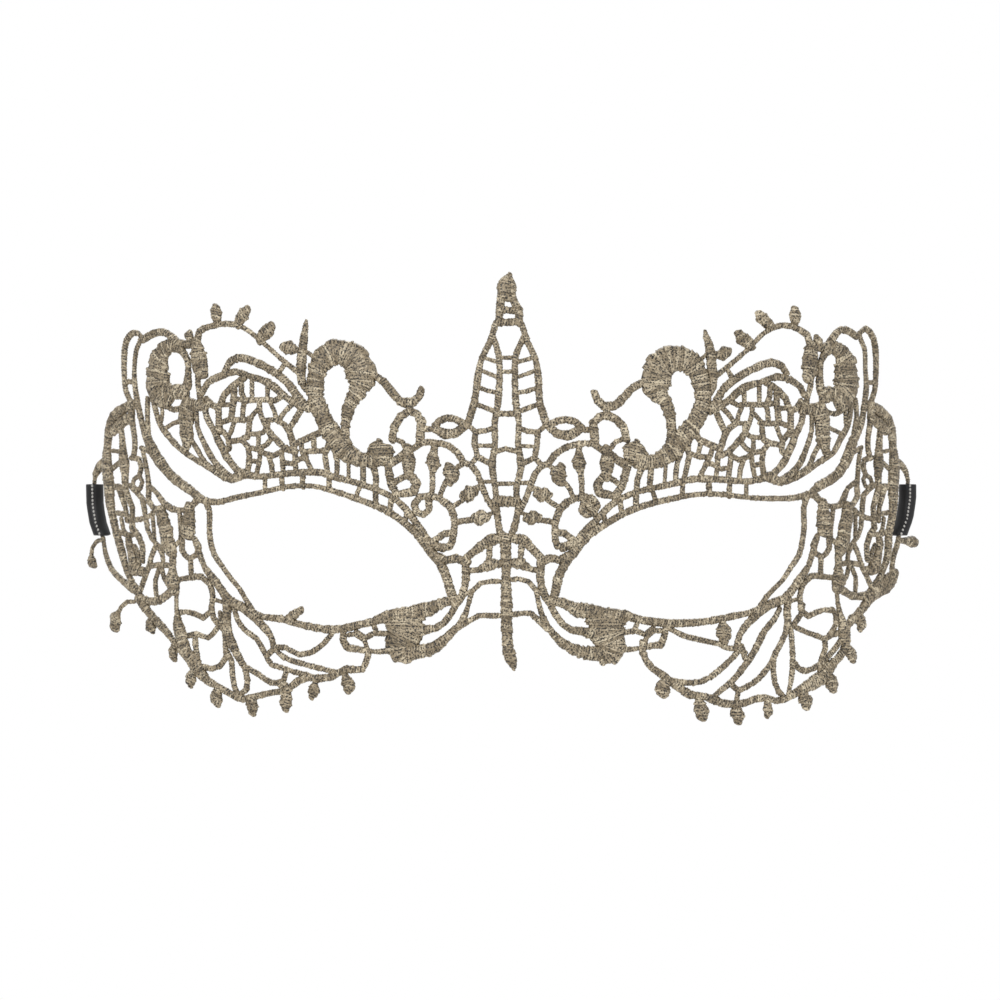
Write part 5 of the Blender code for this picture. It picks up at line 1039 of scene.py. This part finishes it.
class MASK_OT_ribbon_stitches(bpy.types.Operator):
    """Sews the row of pale stitches through both layers of each ribbon"""
    bl_idname = "eye_mask.ribbon_stitches"
    bl_label = "Ribbon stitches"

    def execute(self, context):
        sizes = context.scene.ribbon_looks
        yarn = stitch_yarn()
        outer = sizes.eyelet_radius + sizes.ribbon_thickness
        for side in ("left", "right"):
            parts = []
            for share in np.linspace(STITCH_MARGIN, 1 - STITCH_MARGIN, STITCHES):
                height = sizes.middle_height + (share - 0.5) * sizes.width
                x, y = ribbon_place(side, height / SQUARE_Z, -STITCH_AHEAD * outer, STITCH_OUT * outer,
                                    sizes)
                bpy.ops.object.select_all(action="DESELECT")
                bpy.ops.mesh.primitive_uv_sphere_add(segments=10, ring_count=6, radius=1,
                                                     location=(x, y, height), scale=STITCH_SIZE)
                parts.append(context.active_object)
            bpy.ops.object.select_all(action="DESELECT")
            for part in parts:
                part.select_set(True)
            context.view_layer.objects.active = parts[0]
            bpy.ops.object.join()
            bpy.ops.object.transform_apply(location=True, rotation=True, scale=True)
            row = context.active_object
            row.name = f"ribbon_stitches_{side}"
            bpy.ops.object.shade_smooth()
            row.data.materials.append(yarn)
            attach(row, "root")
        return {"FINISHED"}


class MASK_OT_stage(bpy.types.Operator):
    """Pale floor, soft studio light and the camera square to the face"""
    bl_idname = "eye_mask.stage"
    bl_label = "Stage"

    def execute(self, context):
        looks = context.scene.stage_looks
        bpy.ops.object.select_all(action="DESELECT")
        bpy.ops.mesh.primitive_plane_add(size=8, location=(0, 0, -0.16))
        floor = context.active_object
        floor.name = "floor"
        material, _, shader = new_material("pale_floor", 0.9, 0.0)
        shader.inputs["Base Color"].default_value = (*looks.floor, 1)
        floor.data.materials.append(material)
        world = bpy.data.worlds.new("soft_studio")
        world.use_nodes = True
        world.node_tree.nodes["Background"].inputs["Color"].default_value = (1, 1, 1, 1)
        world.node_tree.nodes["Background"].inputs["Strength"].default_value = looks.sky
        context.scene.world = world
        context.scene.view_settings.view_transform = "Standard"
        target = Vector((0, 0.02, 0.016))
        for name, place, size, power in LIGHTS:
            bpy.ops.object.light_add(type="AREA", location=place)
            light = context.active_object
            light.name = name
            light.data.size = size
            light.data.energy = power
            light.rotation_euler = (target - Vector(place)).to_track_quat("-Z", "Y").to_euler()
        place = (looks.view_across, MIDDLE_DEPTH - looks.distance, looks.view_height)
        bpy.ops.object.camera_add(location=place, rotation=(math.pi / 2, 0, 0))
        camera = context.active_object
        camera.data.type = "ORTHO"
        camera.data.ortho_scale = looks.view_width
        context.scene.camera = camera
        return {"FINISHED"}


class MASK_PT_sidebar(bpy.types.Panel):
    """Lists the steps that make the mask"""
    bl_label = "Eye mask"
    bl_idname = "MASK_PT_sidebar"
    bl_space_type = "VIEW_3D"
    bl_region_type = "UI"
    bl_category = "Eye mask"

    def draw(self, context):
        for group in (context.scene.lace_looks, context.scene.ribbon_looks, context.scene.stage_looks):
            for name in group.__annotations__:
                self.layout.prop(group, name)
        for step in STEPS:
            self.layout.operator(f"eye_mask.{step}")


STEPS = ("lace", "ribbons", "ribbon_stitches", "stage")
GROUPS = (("lace_looks", LaceLooks), ("ribbon_looks", RibbonLooks), ("stage_looks", StageLooks))
OPERATORS = (MASK_OT_lace, MASK_OT_ribbons, MASK_OT_ribbon_stitches, MASK_OT_stage, MASK_PT_sidebar)


def register():
    for name, group in GROUPS:
        bpy.utils.register_class(group)
        setattr(bpy.types.Scene, name, PointerProperty(type=group))
    for kind in OPERATORS:
        bpy.utils.register_class(kind)


def unregister():
    for kind in reversed(OPERATORS):
        bpy.utils.unregister_class(kind)
    for name, group in GROUPS:
        delattr(bpy.types.Scene, name)
        bpy.utils.unregister_class(group)


def main():
    register()
    bpy.ops.eye_mask.lace()
    bpy.ops.eye_mask.ribbons()
    bpy.ops.eye_mask.ribbon_stitches()
    bpy.ops.eye_mask.stage()


if __name__ == "__main__":
    main()
